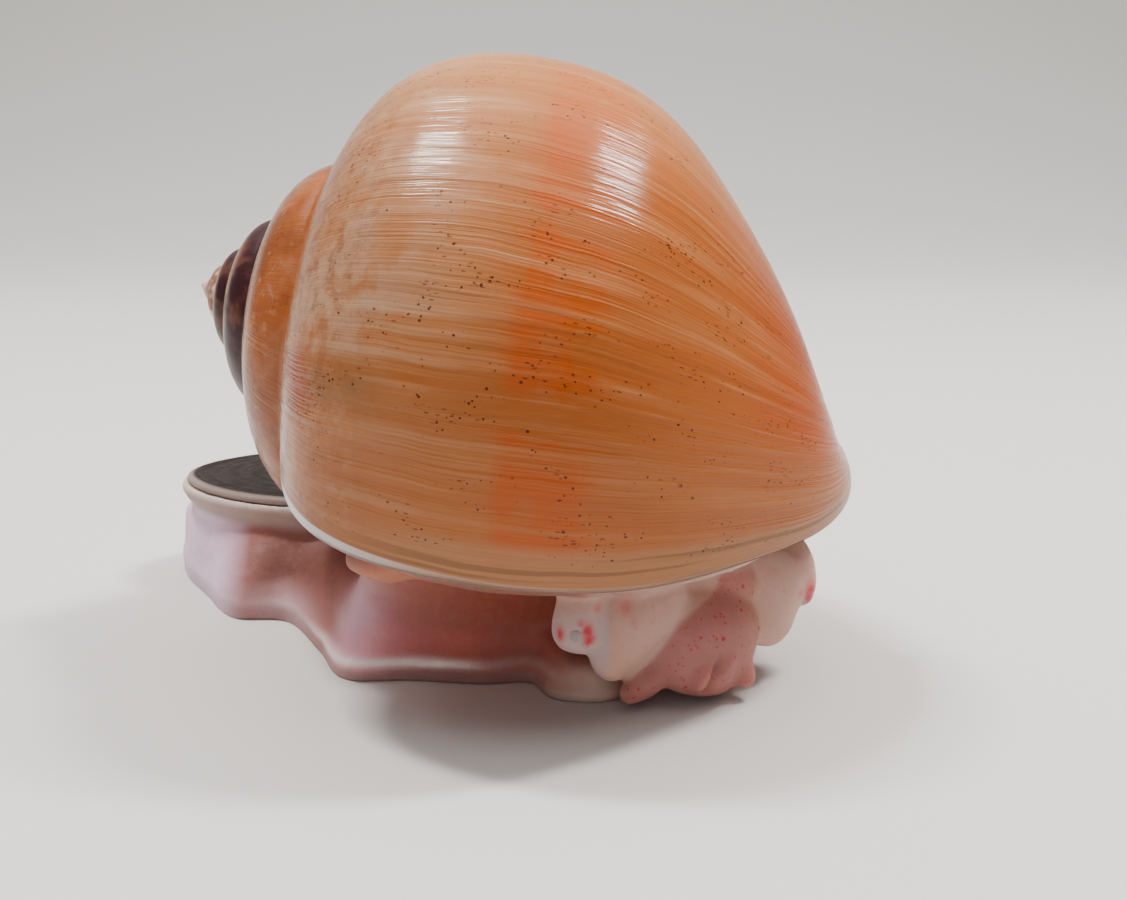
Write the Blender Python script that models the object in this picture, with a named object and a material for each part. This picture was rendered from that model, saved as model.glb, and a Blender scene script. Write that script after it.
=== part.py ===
"""An apple snail at life size, crawling with its tentacles drawn in short.

The lengths below are in millimetres and the angles in degrees; MM turns a length into metres when a mesh
is made. The floor is z = 0, +X runs from the tail to the head, and the snail's right side faces -Y.
"""
import math

import bmesh
import bpy
import numpy as np

MM = 0.001
GAP = 0.32                    # clear space between two neighbouring pieces
MERGES = (0.00004, 0.00001, 0.000002, 0.0000002)  # metres; how near two corners of a cut merge, tried in turn
TURN = 2 * math.pi
UNCUT = {}                    # each piece's mesh before it is cut, by the piece's name

# Shell: where the spire's tip stands and how the coiling axis lies
SPIRE_TIP = np.array([-27.2, 5.8, 27.6])
AXIS_YAW = -8.0               # the base end points a little towards -Y
AXIS_DIP = 11.9               # and lower than the tip
LIP_ANGLE = 120.9             # how far the lip has turned from straight up, over the snail's right side

# Shell: the whorl's cross-section at the lip, a round form with a few low waves
WHORL_GROWTH = 1.793          # how much larger each whorl is than the one before
WHORL_CENTRE_OUT = 6.65       # from the axis
WHORL_CENTRE_DOWN = 31.08     # from the spire's tip
WHORL_RADIUS = 21.39
WHORL_WAVES = ((2, 0.019, -0.035), (3, -0.052, -0.003), (4, 0.028, -0.007), (5, -0.019, -0.026))
LIP_LAG = (4.7, -10.3)        # how far the lip runs ahead at the suture and hangs back at its middle
LIP_LAG_REACH = 57.3
LIP_DRAW_IN = 0.05            # the base of the lip is drawn in a little
LIP_DRAW_IN_AT = 174.0
LIP_DRAW_IN_REACH = 20.0
UMBILICUS_RADIUS = 1.2
UMBILICUS_FLOOR = 42.0        # how far down the axis the small pit beside the lip ends
WHORLS = 4.5
COLUMNS_PER_TURN = 48
ROWS_TO_SUTURE = 7
ROWS_TO_BASE = 15
LIP_WALL = 0.95
MOUTH_CORNER = 2.4            # how far the mouth's sharp corner at the suture is rounded off
RECESS_TURNS = (0.0, -5.0, -14.0, -24.0, -34.0)

# Flesh inside the mouth of the shell
MANTLE_TURNS = (-32.6, -24.0, -14.0, -6.0)
STALK_TURNS = (-5.0, 0.0)
STALK_MIDDLE = (16.0, 35.5)   # distance from the axis and depth below the tip of the trunk's middle
STALK_HALF = (15.0, 5.6)      # half its length and half its width where it leaves the mouth
STALK_LEAN = 22.0             # its length against the axis
STALK_SIDES = 44
STALK_RINGS = ((-1.5, -5.4, 12.0, 4.3, 7.9), (-1.1, -4.4, 12.5, 4.4, 6.0))  # middle, half sizes and height
STALK_FOOT = (-0.5, -3.2, 13.5, 4.8)         # middle and half sizes where it stands on the foot
STALK_SINK = 0.5              # how far its end reaches into the foot before it is cut back

# Foot: outline of the sole, from its front right corner round by the head, the far side and the tail
SOLE = ((1.2, -13.4), (5.2, -13.8), (9.0, -10.2), (15.0, -5.0), (18.5, 1.5), (16.0, 9.0), (8.0, 15.5),
        (-2.0, 21.0), (-12.0, 25.6), (-21.5, 27.4), (-29.0, 25.6), (-33.4, 20.5), (-32.6, 15.5),
        (-29.2, 9.4), (-25.8, 3.8), (-21.0, 2.8), (-17.2, -4.0), (-14.5, -9.6), (-9.5, -9.9),
        (-4.0, -10.6), (-0.5, -10.4))
SPINE = ((13.0, -3.0), (4.0, 0.5), (-6.0, 6.5), (-16.0, 13.0), (-26.0, 18.5))
FOOT_LOW = 4.5                # height of the foot's back under the shell
FOOT_HIGH = 6.6               # and at the tail, where it carries the operculum
FOOT_RISE = (5.0, -7.0)       # the x between which the back rises from low to high
FOOT_FRONT = 2.6              # height of the thin front edge under the head
FOOT_SECTION = ((0.95, 0.0), (0.985, 0.08), (0.988, 0.17), (1.0, 0.27), (0.985, 0.35), (0.955, 0.48),
                (0.94, 0.68), (0.91, 0.86), (0.82, 0.97), (0.5, 1.0))    # reach and share of the height
FOOT_SIDES = 88
FLARE_FROM = 0.27             # share of the height above which the near wall draws in
FLARE = 1.2                   # how far it has drawn in at the top
FLARE_START = (-26.0, 8.0)    # the x at which it begins, and over what length it grows
FLARE_END = (4.0, 5.0)        # the x at which it ends, and over what length it fades
FLARE_SIDE = 6.0              # only the wall nearer than this y
FRONT_START = 6.0             # how far ahead, along the look, the back starts to thin
FRONT_LENGTH = 5.0
FOOT_AXIS = np.array([0.88, -0.475])
FOOT_CUTS = (5.0, -13.0)

# Operculum and the pad that carries it
OPERCULUM_CENTRE = np.array([-17.8, 16.4])
OPERCULUM_HALF = (13.8, 8.9)
OPERCULUM_TURN = -4.0
OPERCULUM_BOTTOM = 8.3
OPERCULUM_THICK = 0.9
OPERCULUM_DISH = 0.3          # how much its edge stands higher than its middle
OPERCULUM_SIDES = 56
GROWTH_CENTRE = 2.2           # how far the rings' centre lies to the far side of the plate's middle
GROWTH_STEPS = ((0.18, 0.0), (0.34, 0.06), (0.38, -0.06), (0.54, 0.06), (0.58, -0.06), (0.74, 0.06),
                (0.78, -0.06), (0.93, 0.0), (1.0, 0.0))    # reach of each growth ring and its lift
PLATE_EGG = (0.10, 0.04)      # how much its sides are fuller and one end blunter than an ellipse's
PLATE_SHIFT = 0.6             # how far the blunt end reaches beyond
UNDER_REACH = (0.35, 0.93, 1.0)   # reach of the rings on the underside
EDGE_BULGE = 0.25             # share of the thickness by which the outermost rings draw together
PAD_THICK = 1.05
PAD_MARGIN = 0.5
PAD_STEPS = ((0.35, 0.0), (0.93, 0.0), (1.0, 0.0))

# Head, set across the direction in which the snail looks
LOOK = np.array([0.5, -0.866, 0.0])
ACROSS = np.array([0.866, 0.5, 0.0])     # towards the snail's left
UP = np.array([0.0, 0.0, 1.0])
MAUVE = (0.66, 0.36, 0.33)
PALE = (0.88, 0.72, 0.60)
EYE_COLOUR = (0.45, 0.06, 0.07)
SKIN_ROUGHNESS = 0.4

# Limbs: path, radii along it, depth against width, side of the width, rings, sides and colour
LIMBS = {
    "head": (((6.6, -11.0, 7.4), (11.4, -8.6, 7.2), (17.0, -5.4, 7.6)), (3.4, 4.4, 3.6), 1.0, UP, 15, 20,
             MAUVE),
    "snout": (((11.6, -9.6, 8.2), (11.6, -12.2, 5.0), (10.9, -14.2, 0.7)), (3.8, 4.8, 4.6), 0.60, ACROSS,
              15, 24, MAUVE),
    "tentacle_right": (((9.2, -12.2, 9.6), (7.0, -14.6, 6.4), (4.6, -16.2, 2.9)), (4.1, 2.9, 1.3), 0.70,
                       ACROSS, 14, 18, PALE),
    "tentacle_left": (((18.0, -7.4, 9.6), (16.9, -8.8, 6.4), (16.4, -10.0, 2.8)), (3.8, 3.1, 2.2), 0.62,
                      ACROSS, 14, 18, PALE),
    "eyestalk_right": (((5.6, -12.4, 9.6), (3.5, -15.0, 8.2), (2.8, -15.9, 4.6)), (1.5, 1.7, 2.0), 1.0,
                       ACROSS, 14, 16, PALE),
    "eyestalk_left": (((18.0, -5.2, 9.6), (18.9, -6.5, 8.0), (19.1, -7.1, 4.9)), (1.6, 1.8, 2.0), 1.0,
                      ACROSS, 14, 16, PALE),
    "palp_right": (((8.6, -14.0, 3.2), (7.8, -15.0, 2.2), (7.2, -15.4, 1.6)), (0.9, 0.8, 0.5), 1.0, ACROSS,
                   9, 12, PALE),
    "palp_left": (((14.2, -11.8, 3.2), (14.9, -12.8, 2.1), (14.8, -13.4, 1.5)), (0.9, 0.8, 0.5), 1.0,
                  ACROSS, 9, 12, PALE),
    "nuchal_lobe_right": (((-7.0, -14.0, 11.0), (-10.0, -14.8, 10.6), (-13.0, -14.0, 11.2)),
                          (1.2, 1.3, 1.0), 1.0, ACROSS, 11, 14, PALE),
    "siphon": (((17.6, -0.6, 10.8), (19.0, -2.4, 9.4), (18.8, -4.0, 7.8)), (1.5, 1.6, 1.5), 1.0, ACROSS,
               11, 14, PALE),
}
LIPS = (((12.1, -14.9, 3.8), (11.7, -15.8, 2.8), (11.3, -15.5, 1.7)),
        ((13.5, -14.1, 3.8), (13.2, -14.9, 2.8), (12.8, -14.6, 1.7)))
LIP_RADII = (0.7, 0.85, 0.7)
MOUTH_SLIT = ((12.9, -14.9, 3.9), (12.5, -15.9, 2.8), (12.1, -15.5, 1.4))
SLIT_RADII = (0.25, 0.3, 0.25)
SLIT_FLAT = 4.0               # how much deeper than wide the cut between the lips is
EYES = {"eye_right": ((2.7, -17.65, 6.2), (-0.15, -0.98, -0.15)),
        "eye_left": ((20.3, -8.0, 6.0), (0.75, -0.6, -0.2))}
EYE_RADIUS = 0.9
EYE_DEPTH = 0.55


def closed_curve(points, samples):
    """A smooth closed curve through the points: Catmull-Rom pieces, evenly spaced along their length."""
    points = np.array(points, float)
    count = len(points)
    steps = np.linspace(0, 1, 24, endpoint=False)[:, None]
    pieces = []
    for k in range(count):
        a, b, c, d = (points[(k + shift) % count] for shift in (-1, 0, 1, 2))
        pieces.append(0.5 * (2 * b + (c - a) * steps + (2 * a - 5 * b + 4 * c - d) * steps ** 2
                             + (3 * b - a - 3 * c + d) * steps ** 3))
    return even_loop(np.concatenate(pieces), samples)


def even_loop(loop, samples):
    """The closed loop again with its points evenly spaced, starting at its first point."""
    closed = np.vstack([loop, loop[:1]])
    length = np.concatenate([[0], np.cumsum(np.linalg.norm(np.diff(closed, axis=0), axis=1))])
    wanted = np.linspace(0, length[-1], samples, endpoint=False)
    return np.stack([np.interp(wanted, length, closed[:, k]) for k in range(loop.shape[1])], 1)


def open_curve(points, places):
    """Points at the given places, 0 to 1, on a smooth open curve through the points."""
    points = np.array(points, float)
    count = len(points)
    out = []
    for place in places:
        spot = min(place * (count - 1), count - 1 - 1e-9)
        k = int(spot)
        u = spot - k
        a, b, c, d = (points[min(max(k + shift, 0), count - 1)] for shift in (-1, 0, 1, 2))
        out.append(0.5 * (2 * b + (c - a) * u + (2 * a - 5 * b + 4 * c - d) * u * u
                          + (3 * b - a - 3 * c + d) * u ** 3))
    return np.array(out)


def make(name, verts, faces, colour, roughness):
    """One closed piece with its own material, its lengths turned from millimetres into metres."""
    mesh = bpy.data.meshes.new(name)
    mesh.from_pydata([tuple(float(c) * MM for c in v) for v in verts], [], faces)
    bm = bmesh.new()
    bm.from_mesh(mesh)
    bmesh.ops.recalc_face_normals(bm, faces=bm.faces)
    if bm.calc_volume(signed=True) < 0:
        bmesh.ops.reverse_faces(bm, faces=bm.faces)
    bmesh.ops.triangulate(bm, faces=bm.faces)
    bm.to_mesh(mesh)
    bm.free()
    mesh.shade_smooth()
    piece = bpy.data.objects.new(name, mesh)
    bpy.context.collection.objects.link(piece)
    material = bpy.data.materials.new(name)
    material.use_nodes = True
    surface = material.node_tree.nodes["Principled BSDF"]
    surface.inputs["Base Color"].default_value = (*colour, 1.0)
    surface.inputs["Roughness"].default_value = roughness
    mesh.materials.append(material)
    UNCUT[name] = mesh.copy()
    return piece


def loft(rings):
    """Corners and faces of a closed body through rings of equal count, with a flat face at each end."""
    count = len(rings[0])
    verts = np.concatenate(rings)
    faces = []
    for level in range(len(rings) - 1):
        low = level * count
        for k in range(count):
            after = (k + 1) % count
            faces.append((low + k, low + after, low + count + after, low + count + k))
    faces.append(tuple(range(count))[::-1])
    faces.append(tuple(range(len(verts) - count, len(verts))))
    return verts, faces


def limb(points, radii, flat=1.0, side=(1, 0, 0), rings=13, sides=16):
    """A tapering round body along a smooth path, with rounded ends and an oval section.

    The radius at a place is read between the given radii and rounded off as a half circle at each end.
    """
    places = 0.5 - 0.5 * np.cos(np.linspace(0, math.pi, rings + 2))
    centres = open_curve(points, places)
    radius = np.interp(places, np.linspace(0, 1, len(radii)), radii)
    length = np.linalg.norm(np.diff(centres, axis=0), axis=1).sum()
    for end, width in ((places, radii[0]), (1 - places, radii[-1])):
        reach = min(width / length, 0.5)
        radius = radius * np.sqrt(np.clip(1 - (1 - np.minimum(end / reach, 1)) ** 2, 0, 1))
    along = np.gradient(centres, axis=0)
    along /= np.linalg.norm(along, axis=1, keepdims=True)
    across = np.array(side, float) - (along @ np.array(side, float))[:, None] * along
    across /= np.linalg.norm(across, axis=1, keepdims=True)
    deep = np.cross(along, across)
    angle = np.linspace(0, TURN, sides, endpoint=False)[None, :, None]
    body = (centres[1:-1, None] + radius[1:-1, None, None]
            * (np.cos(angle) * across[1:-1, None] + flat * np.sin(angle) * deep[1:-1, None]))
    verts = np.concatenate([centres[:1], body.reshape(-1, 3), centres[-1:]])
    faces = []
    last = len(verts) - 1
    for k in range(sides):
        after = (k + 1) % sides
        faces.append((0, 1 + after, 1 + k))
        faces.append((last, last - sides + k, last - sides + after))
        for level in range(rings - 1):
            low = 1 + level * sides
            faces.append((low + k, low + after, low + sides + after, low + sides + k))
    return verts, faces


def grown(piece, gap):
    """A copy of a piece as it was before any cut, its surface a gap further out, used only to cut others."""
    copy = bpy.data.objects.new("cutter", UNCUT[piece.name].copy())
    bpy.context.collection.objects.link(copy)
    bm = bmesh.new()
    bm.from_mesh(copy.data)
    bm.normal_update()
    shifts = [(v, v.normal * gap * MM * min(v.calc_shell_factor(), 1.6)) for v in bm.verts]
    for vert, shift in shifts:
        vert.co += shift
    bm.to_mesh(copy.data)
    bm.free()
    return copy


def keep_largest(bm):
    """Only the closed surface with the most faces stays."""
    left = set(bm.faces)
    groups = []
    while left:
        stack = [left.pop()]
        group = []
        while stack:
            face = stack.pop()
            group.append(face)
            for edge in face.edges:
                for other in edge.link_faces:
                    if other in left:
                        left.discard(other)
                        stack.append(other)
        groups.append(group)
    groups.sort(key=len)
    for group in groups[:-1]:
        bmesh.ops.delete(bm, geom=group, context="FACES")
    loose = [v for v in bm.verts if not v.link_faces]
    bmesh.ops.delete(bm, geom=loose, context="VERTS")


def boolean(piece, other, operation):
    """Join to a piece, or cut from it, and keep the largest closed body of the result."""
    step = piece.modifiers.new(operation, "BOOLEAN")
    step.operation = operation
    step.solver = "EXACT"
    step.object = other
    graph = bpy.context.evaluated_depsgraph_get()
    raw = bpy.data.meshes.new_from_object(piece.evaluated_get(graph))
    piece.modifiers.remove(step)
    for merge in MERGES:
        fresh = raw.copy()
        bm = bmesh.new()
        bm.from_mesh(fresh)
        bmesh.ops.triangulate(bm, faces=bm.faces)
        bmesh.ops.remove_doubles(bm, verts=bm.verts, dist=merge)
        bmesh.ops.dissolve_degenerate(bm, dist=merge / 2, edges=bm.edges)
        bmesh.ops.triangulate(bm, faces=bm.faces)
        keep_largest(bm)
        closed = all(len(edge.link_faces) == 2 for edge in bm.edges)
        bm.to_mesh(fresh)
        bm.free()
        if closed:
            break
    piece.data = fresh
    bpy.data.objects.remove(other)


def clear_of(piece, *others):
    """Cut a piece back so that it lies a gap away from each of the others."""
    for other in others:
        boolean(piece, grown(other, GAP), "DIFFERENCE")


def whorl(psi):
    """Distance from the axis and depth below the tip of the whorl's section, at the lip.

    psi is 0 on the side of the tip, 90 degrees outwards and 180 at the base; the radius is a constant
    plus a few waves in psi.
    """
    swell = 1 + sum(c * np.cos(n * psi) + s * np.sin(n * psi) for n, c, s in WHORL_WAVES)
    radius = WHORL_RADIUS * swell
    return WHORL_CENTRE_OUT + radius * np.sin(psi), WHORL_CENTRE_DOWN - radius * np.cos(psi)


def shell_frame():
    """The axis from tip to base, the direction above it and the direction towards the right side."""
    yaw = math.radians(AXIS_YAW)
    dip = math.radians(AXIS_DIP)
    axis = np.array([math.cos(dip) * math.cos(yaw), math.cos(dip) * math.sin(yaw), -math.sin(dip)])
    above = np.array([math.sin(dip) * math.cos(yaw), math.sin(dip) * math.sin(yaw), math.cos(dip)])
    return axis, above, np.cross(axis, above)


def shell_point(turn, out, down):
    """A point carried round the shell: it turns about the axis and grows by a constant factor a turn."""
    axis, above, right = shell_frame()
    turn = np.asarray(turn, float)
    angle = math.radians(LIP_ANGLE) + turn
    size = WHORL_GROWTH ** (turn / TURN)
    return (SPIRE_TIP + (size * out * np.cos(angle))[..., None] * above
            + (size * out * np.sin(angle))[..., None] * right + (size * down)[..., None] * axis)


def lip_lag(turn, psi):
    """How far the growth lines run ahead or hang back of the radial plane, fading up the spire."""
    lag = math.radians(LIP_LAG[0]) * np.cos(psi) + math.radians(LIP_LAG[1]) * np.sin(psi)
    return lag * np.exp(turn / math.radians(LIP_LAG_REACH))


def whorl_surface(turn, psi):
    """Point of the shell's outside at a turn before the lip and an angle round the whorl."""
    out, down = whorl(psi)
    pull = np.maximum(0, np.cos(psi - math.radians(LIP_DRAW_IN_AT))) ** 2
    pull = 1 - LIP_DRAW_IN * pull * np.exp(turn / math.radians(LIP_DRAW_IN_REACH))
    out = WHORL_CENTRE_OUT + (out - WHORL_CENTRE_OUT) * pull
    down = WHORL_CENTRE_DOWN + (down - WHORL_CENTRE_DOWN) * pull
    return shell_point(turn + lip_lag(turn, psi), out, down)


def suture_angles():
    """The angles on the whorl where it meets the whorl before it, and the whorl after it."""
    psi = np.radians(np.linspace(0, 120, 2401))
    out, down = whorl(psi)
    here = np.stack([out, down], 1)[::4]
    before = np.stack([out, down], 1)[::4] / WHORL_GROWTH
    apart = np.linalg.norm(here[:, None] - before[None], axis=2)
    apart += 1e3 * (np.arange(len(here))[:, None] >= np.arange(len(here))[None])
    first, second = np.unravel_index(np.argmin(apart), apart.shape)
    return psi[::4][first], psi[::4][second]


def base_angle():
    """The angle past the base where the whorl comes in to the edge of the umbilicus."""
    psi = np.radians(np.linspace(180, 215, 701))
    return psi[np.argmin(np.abs(whorl(psi)[0] - UMBILICUS_RADIUS))]


def mouth_loop():
    """The mouth's outline as angle lag, distance out and depth down: outer lip, inner lip, parietal wall."""
    first, second = suture_angles()
    last = base_angle()
    rows = np.concatenate([np.linspace(first, second, ROWS_TO_SUTURE + 1),
                           np.linspace(second, last, ROWS_TO_BASE + 1)[1:]])
    out, down = whorl(rows)
    pull = 1 - LIP_DRAW_IN * np.maximum(0, np.cos(rows - math.radians(LIP_DRAW_IN_AT))) ** 2
    lip = np.stack([lip_lag(0.0, rows), WHORL_CENTRE_OUT + (out - WHORL_CENTRE_OUT) * pull,
                    WHORL_CENTRE_DOWN + (down - WHORL_CENTRE_DOWN) * pull], 1)
    wall = np.stack([0 * rows, out / WHORL_GROWTH, down / WHORL_GROWTH], 1)[:ROWS_TO_SUTURE:-1]
    floor = np.array([[0.0, 0.0, UMBILICUS_FLOOR]])
    return rows, np.concatenate([lip, floor, wall])


def inset(loop, distance):
    """The mouth's outline moved inwards; near the sharp corner at the suture it moves less and less."""
    flat = loop[:, 1:]
    edge = np.roll(flat, -1, 0) - flat
    inward = np.stack([-edge[:, 1], edge[:, 0]], 1)
    inward /= np.linalg.norm(inward, axis=1, keepdims=True)
    area = 0.5 * np.sum(flat[:, 0] * np.roll(flat[:, 1], -1) - np.roll(flat[:, 0], -1) * flat[:, 1])
    inward *= math.copysign(1, area)
    both = inward + np.roll(inward, 1, 0)
    both /= np.linalg.norm(both, axis=1, keepdims=True)
    inward = both / np.maximum(0.5, np.sum(both * inward, axis=1, keepdims=True))
    away = np.linalg.norm(flat - flat[0], axis=1)
    amount = distance * np.minimum(1, away / (MOUTH_CORNER + 1.6 * distance))
    moved = loop.copy()
    moved[:, 1:] = flat + inward * amount[:, None]
    corner = 0.5 * (flat[1] + flat[-1]) - flat[0]
    corner /= np.linalg.norm(corner)
    moved[0, 1:] = flat[0] + corner * min(1.2 * distance, 2.2)
    return moved


def mouth_ring(loop, turn):
    """The mouth's outline, set a number of degrees before the lip or past it."""
    turn = math.radians(turn)
    lag = loop[:, 0] * math.exp(min(turn, 0.0) / math.radians(LIP_LAG_REACH))
    return shell_point(turn + lag, loop[:, 1], loop[:, 2])


def build_shell():
    """The coiled outside from tip to lip, the small umbilicus, the lip's edge and the recess behind it."""
    rows, loop = mouth_loop()
    columns = int(WHORLS * COLUMNS_PER_TURN)
    final = columns - COLUMNS_PER_TURN
    turns = (np.arange(columns + 1) - columns) * TURN / COLUMNS_PER_TURN
    grid = whorl_surface(turns[:, None], rows[None, :])
    verts = []
    number = {}
    for i in range(columns + 1):
        for j in range(len(rows)):
            hidden = turns[i] < -TURN - 1e-6 and j > ROWS_TO_SUTURE
            covered = j == ROWS_TO_SUTURE and i <= final
            if not hidden and not covered:
                number[i, j] = len(verts)
                verts.append(grid[i, j])
    for i in range(final + 1):
        number[i, ROWS_TO_SUTURE] = number[i + COLUMNS_PER_TURN, 0]
    faces = []
    for i in range(columns):
        height = len(rows) - 1 if i >= final else ROWS_TO_SUTURE
        for j in range(height):
            faces.append((number[i, j], number[i + 1, j], number[i + 1, j + 1], number[i, j + 1]))
    tip = len(verts)
    verts.append(SPIRE_TIP)
    for i in range(COLUMNS_PER_TURN):
        faces.append((number[i, 0], number[i + 1, 0], tip))
    for j in range(ROWS_TO_SUTURE):
        faces.append((number[0, j + 1], number[0, j], tip))
    floor = len(verts)
    verts.append(shell_point(0.0, 0.0, UMBILICUS_FLOOR))
    base = len(rows) - 1
    for i in range(final, columns):
        faces.append((number[i, base], number[i + 1, base], floor))
    edge = [number[columns, j] for j in range(len(rows))] + [floor]
    edge += [number[final, j] for j in range(base, ROWS_TO_SUTURE, -1)]
    inner = inset(loop, LIP_WALL)
    for turn in RECESS_TURNS:
        start = len(verts)
        verts.extend(mouth_ring(inner, turn))
        ring = list(range(start, len(verts)))
        for k in range(len(edge)):
            after = (k + 1) % len(edge)
            faces.append((edge[k], edge[after], ring[after], ring[k]))
        edge = ring
    faces.append(tuple(edge))
    return make("shell", verts, faces, (0.78, 0.42, 0.18), 0.25)


def build_mantle():
    """The mantle, which lines the mouth of the shell and fills it behind the lip."""
    loop = inset(inset(mouth_loop()[1], LIP_WALL), 1.6 * GAP)
    verts, faces = loft([mouth_ring(loop, turn) for turn in MANTLE_TURNS])
    return make("mantle", verts, faces, (0.80, 0.52, 0.42), 0.45)


def foot_height(x, y):
    """Height of the foot's back: low under the shell, high at the tail, thin at the front edge."""
    rise = np.clip((FOOT_RISE[0] - x) / (FOOT_RISE[0] - FOOT_RISE[1]), 0, 1)
    rise = rise * rise * (3 - 2 * rise)
    front = np.clip((x * LOOK[0] + y * LOOK[1] - FRONT_START) / FRONT_LENGTH, 0, 1)
    return (FOOT_LOW + (FOOT_HIGH - FOOT_LOW) * rise) * (1 - front) + FOOT_FRONT * front


def build_foot():
    """The foot: the sole's outline drawn in towards the foot's middle line as the side wall rises."""
    outline = closed_curve(SOLE, FOOT_SIDES)
    spine = open_curve(SPINE, np.linspace(0, 1, 60))
    nearest = np.argmin(np.linalg.norm(outline[:, None] - spine[None], axis=2), axis=1)
    middle = spine[nearest]
    for _ in range(6):
        middle = (np.roll(middle, 1, 0) + 2 * middle + np.roll(middle, -1, 0)) / 4
    inward = middle - outline
    inward /= np.linalg.norm(inward, axis=1, keepdims=True)
    near = np.clip((outline[:, 0] - FLARE_START[0]) / FLARE_START[1], 0, 1)
    near *= np.clip((FLARE_END[0] - outline[:, 0]) / FLARE_END[1], 0, 1) * (outline[:, 1] < FLARE_SIDE)
    rings = []
    for reach, height in FOOT_SECTION:
        flare = FLARE * max(0.0, height - FLARE_FROM)
        ring = middle + (outline - middle) * reach + inward * (near * flare)[:, None]
        top = foot_height(ring[:, 0], ring[:, 1]) * height
        rings.append(np.column_stack([ring, top]))
    verts, faces = loft(rings)
    faces = faces[:-1]
    crown = np.arange(len(verts) - FOOT_SIDES, len(verts))
    seam = len(verts)
    ridge = spine[::6]
    height = foot_height(ridge[:, 0], ridge[:, 1])
    verts = np.concatenate([verts, np.column_stack([ridge, height + 0.02])])
    closest = np.argmin(np.linalg.norm(verts[crown, None, :2] - ridge[None], axis=2), axis=1)
    for k in range(FOOT_SIDES):
        after = (k + 1) % FOOT_SIDES
        faces.append((crown[k], crown[after], seam + closest[k]))
        step = 1 if closest[after] > closest[k] else -1
        for spot in range(closest[k], closest[after], step):
            faces.append((seam + spot, crown[after], seam + spot + step))
    faces = [tuple(int(v) for v in face) for face in faces]
    return make("foot_middle", verts, faces, (0.78, 0.50, 0.50), 0.45)


def slab(direction, place, keep_above):
    """A large block that covers one side of an upright plane, for parting the foot into lengths."""
    along = np.array([direction[0], direction[1], 0.0])
    across = np.array([-direction[1], direction[0], 0.0])
    start = place + (GAP / 2 if keep_above else -GAP / 2)
    end = start + (120 if keep_above else -120)
    corners = []
    for depth in (start, end):
        for side, height in ((-80, -10), (80, -10), (80, 60), (-80, 60)):
            corners.append(along * depth + across * side + np.array([0, 0, height]))
    faces = [(0, 1, 2, 3), (7, 6, 5, 4), (0, 4, 5, 1), (1, 5, 6, 2), (2, 6, 7, 3), (3, 7, 4, 0)]
    return make("cutter", corners, faces, (1, 1, 1), 1.0)


def part_foot(foot):
    """The foot in three lengths with a thin cut between them."""
    axis = FOOT_AXIS / np.linalg.norm(FOOT_AXIS)
    lengths = []
    for name, low, high in (("foot_front", FOOT_CUTS[0], None), ("foot_tail", None, FOOT_CUTS[1]),
                            ("foot_middle", FOOT_CUTS[1], FOOT_CUTS[0])):
        piece = bpy.data.objects.new(name, foot.data.copy())
        bpy.context.collection.objects.link(piece)
        if low is not None:
            boolean(piece, slab(axis, low, True), "INTERSECT")
        if high is not None:
            boolean(piece, slab(axis, high, False), "INTERSECT")
        lengths.append(piece)
    bpy.data.objects.remove(foot)
    for piece, name in zip(lengths, ("foot_front", "foot_tail", "foot_middle")):
        piece.name = name
        UNCUT[name] = UNCUT["foot_middle"]
    return lengths


def build_stalk():
    """The trunk of the body: out of the shell's mouth, over the lip and down on to the foot's back."""
    angle = np.linspace(0, TURN, STALK_SIDES, endpoint=False)
    lean = math.radians(STALK_LEAN)
    long = STALK_HALF[0] * np.cos(angle)
    wide = STALK_HALF[1] * np.sin(angle)
    out = STALK_MIDDLE[0] + long * math.sin(lean) + wide * math.cos(lean)
    down = STALK_MIDDLE[1] - long * math.cos(lean) + wide * math.sin(lean)
    rings = [shell_point(math.radians(turn) + 0 * angle, out, down) for turn in STALK_TURNS]
    for x, y, half_x, half_y, height in STALK_RINGS:
        rings.append(np.column_stack([x - half_x * np.cos(angle), y - half_y * np.sin(angle),
                                      height + 0 * angle]))
    x, y, half_x, half_y = STALK_FOOT
    base = np.column_stack([x - half_x * np.cos(angle), y - half_y * np.sin(angle), 0 * angle])
    base[:, 2] = foot_height(base[:, 0], base[:, 1]) - STALK_SINK
    rings.append(base)
    verts, faces = loft(rings)
    return make("body_stalk", verts, faces, (0.70, 0.36, 0.30), 0.45)


def plate(name, margin, bottom, thick, dish, steps, colour, roughness):
    """A thin oval plate with one blunt end; each ring has a reach and a lift, the edge bulges a little."""
    angle = np.linspace(0, TURN, OPERCULUM_SIDES, endpoint=False)
    spin = math.radians(OPERCULUM_TURN)
    shape = 1 - PLATE_EGG[0] * np.cos(2 * angle) - PLATE_EGG[1] * np.cos(angle)
    under = [(reach, 0.0, bottom) for reach in UNDER_REACH]
    over = [(reach, lift, bottom + thick) for reach, lift in reversed(steps)]
    rings = []
    for reach, lift, level in under + over:
        x = (OPERCULUM_HALF[0] + margin) * np.cos(angle) * reach - PLATE_SHIFT * reach
        y = (OPERCULUM_HALF[1] + margin) * np.sin(angle) * reach * shape + GROWTH_CENTRE * (1 - reach)
        height = level + lift + dish * reach ** 2
        if reach == 1.0:
            height += EDGE_BULGE * thick * (1 if level == bottom else -1)
        rings.append(np.column_stack([OPERCULUM_CENTRE[0] + x * math.cos(spin) - y * math.sin(spin),
                                      OPERCULUM_CENTRE[1] + x * math.sin(spin) + y * math.cos(spin),
                                      height + 0 * x]))
    verts, faces = loft(rings)
    return make(name, verts, faces, colour, roughness)


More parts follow.
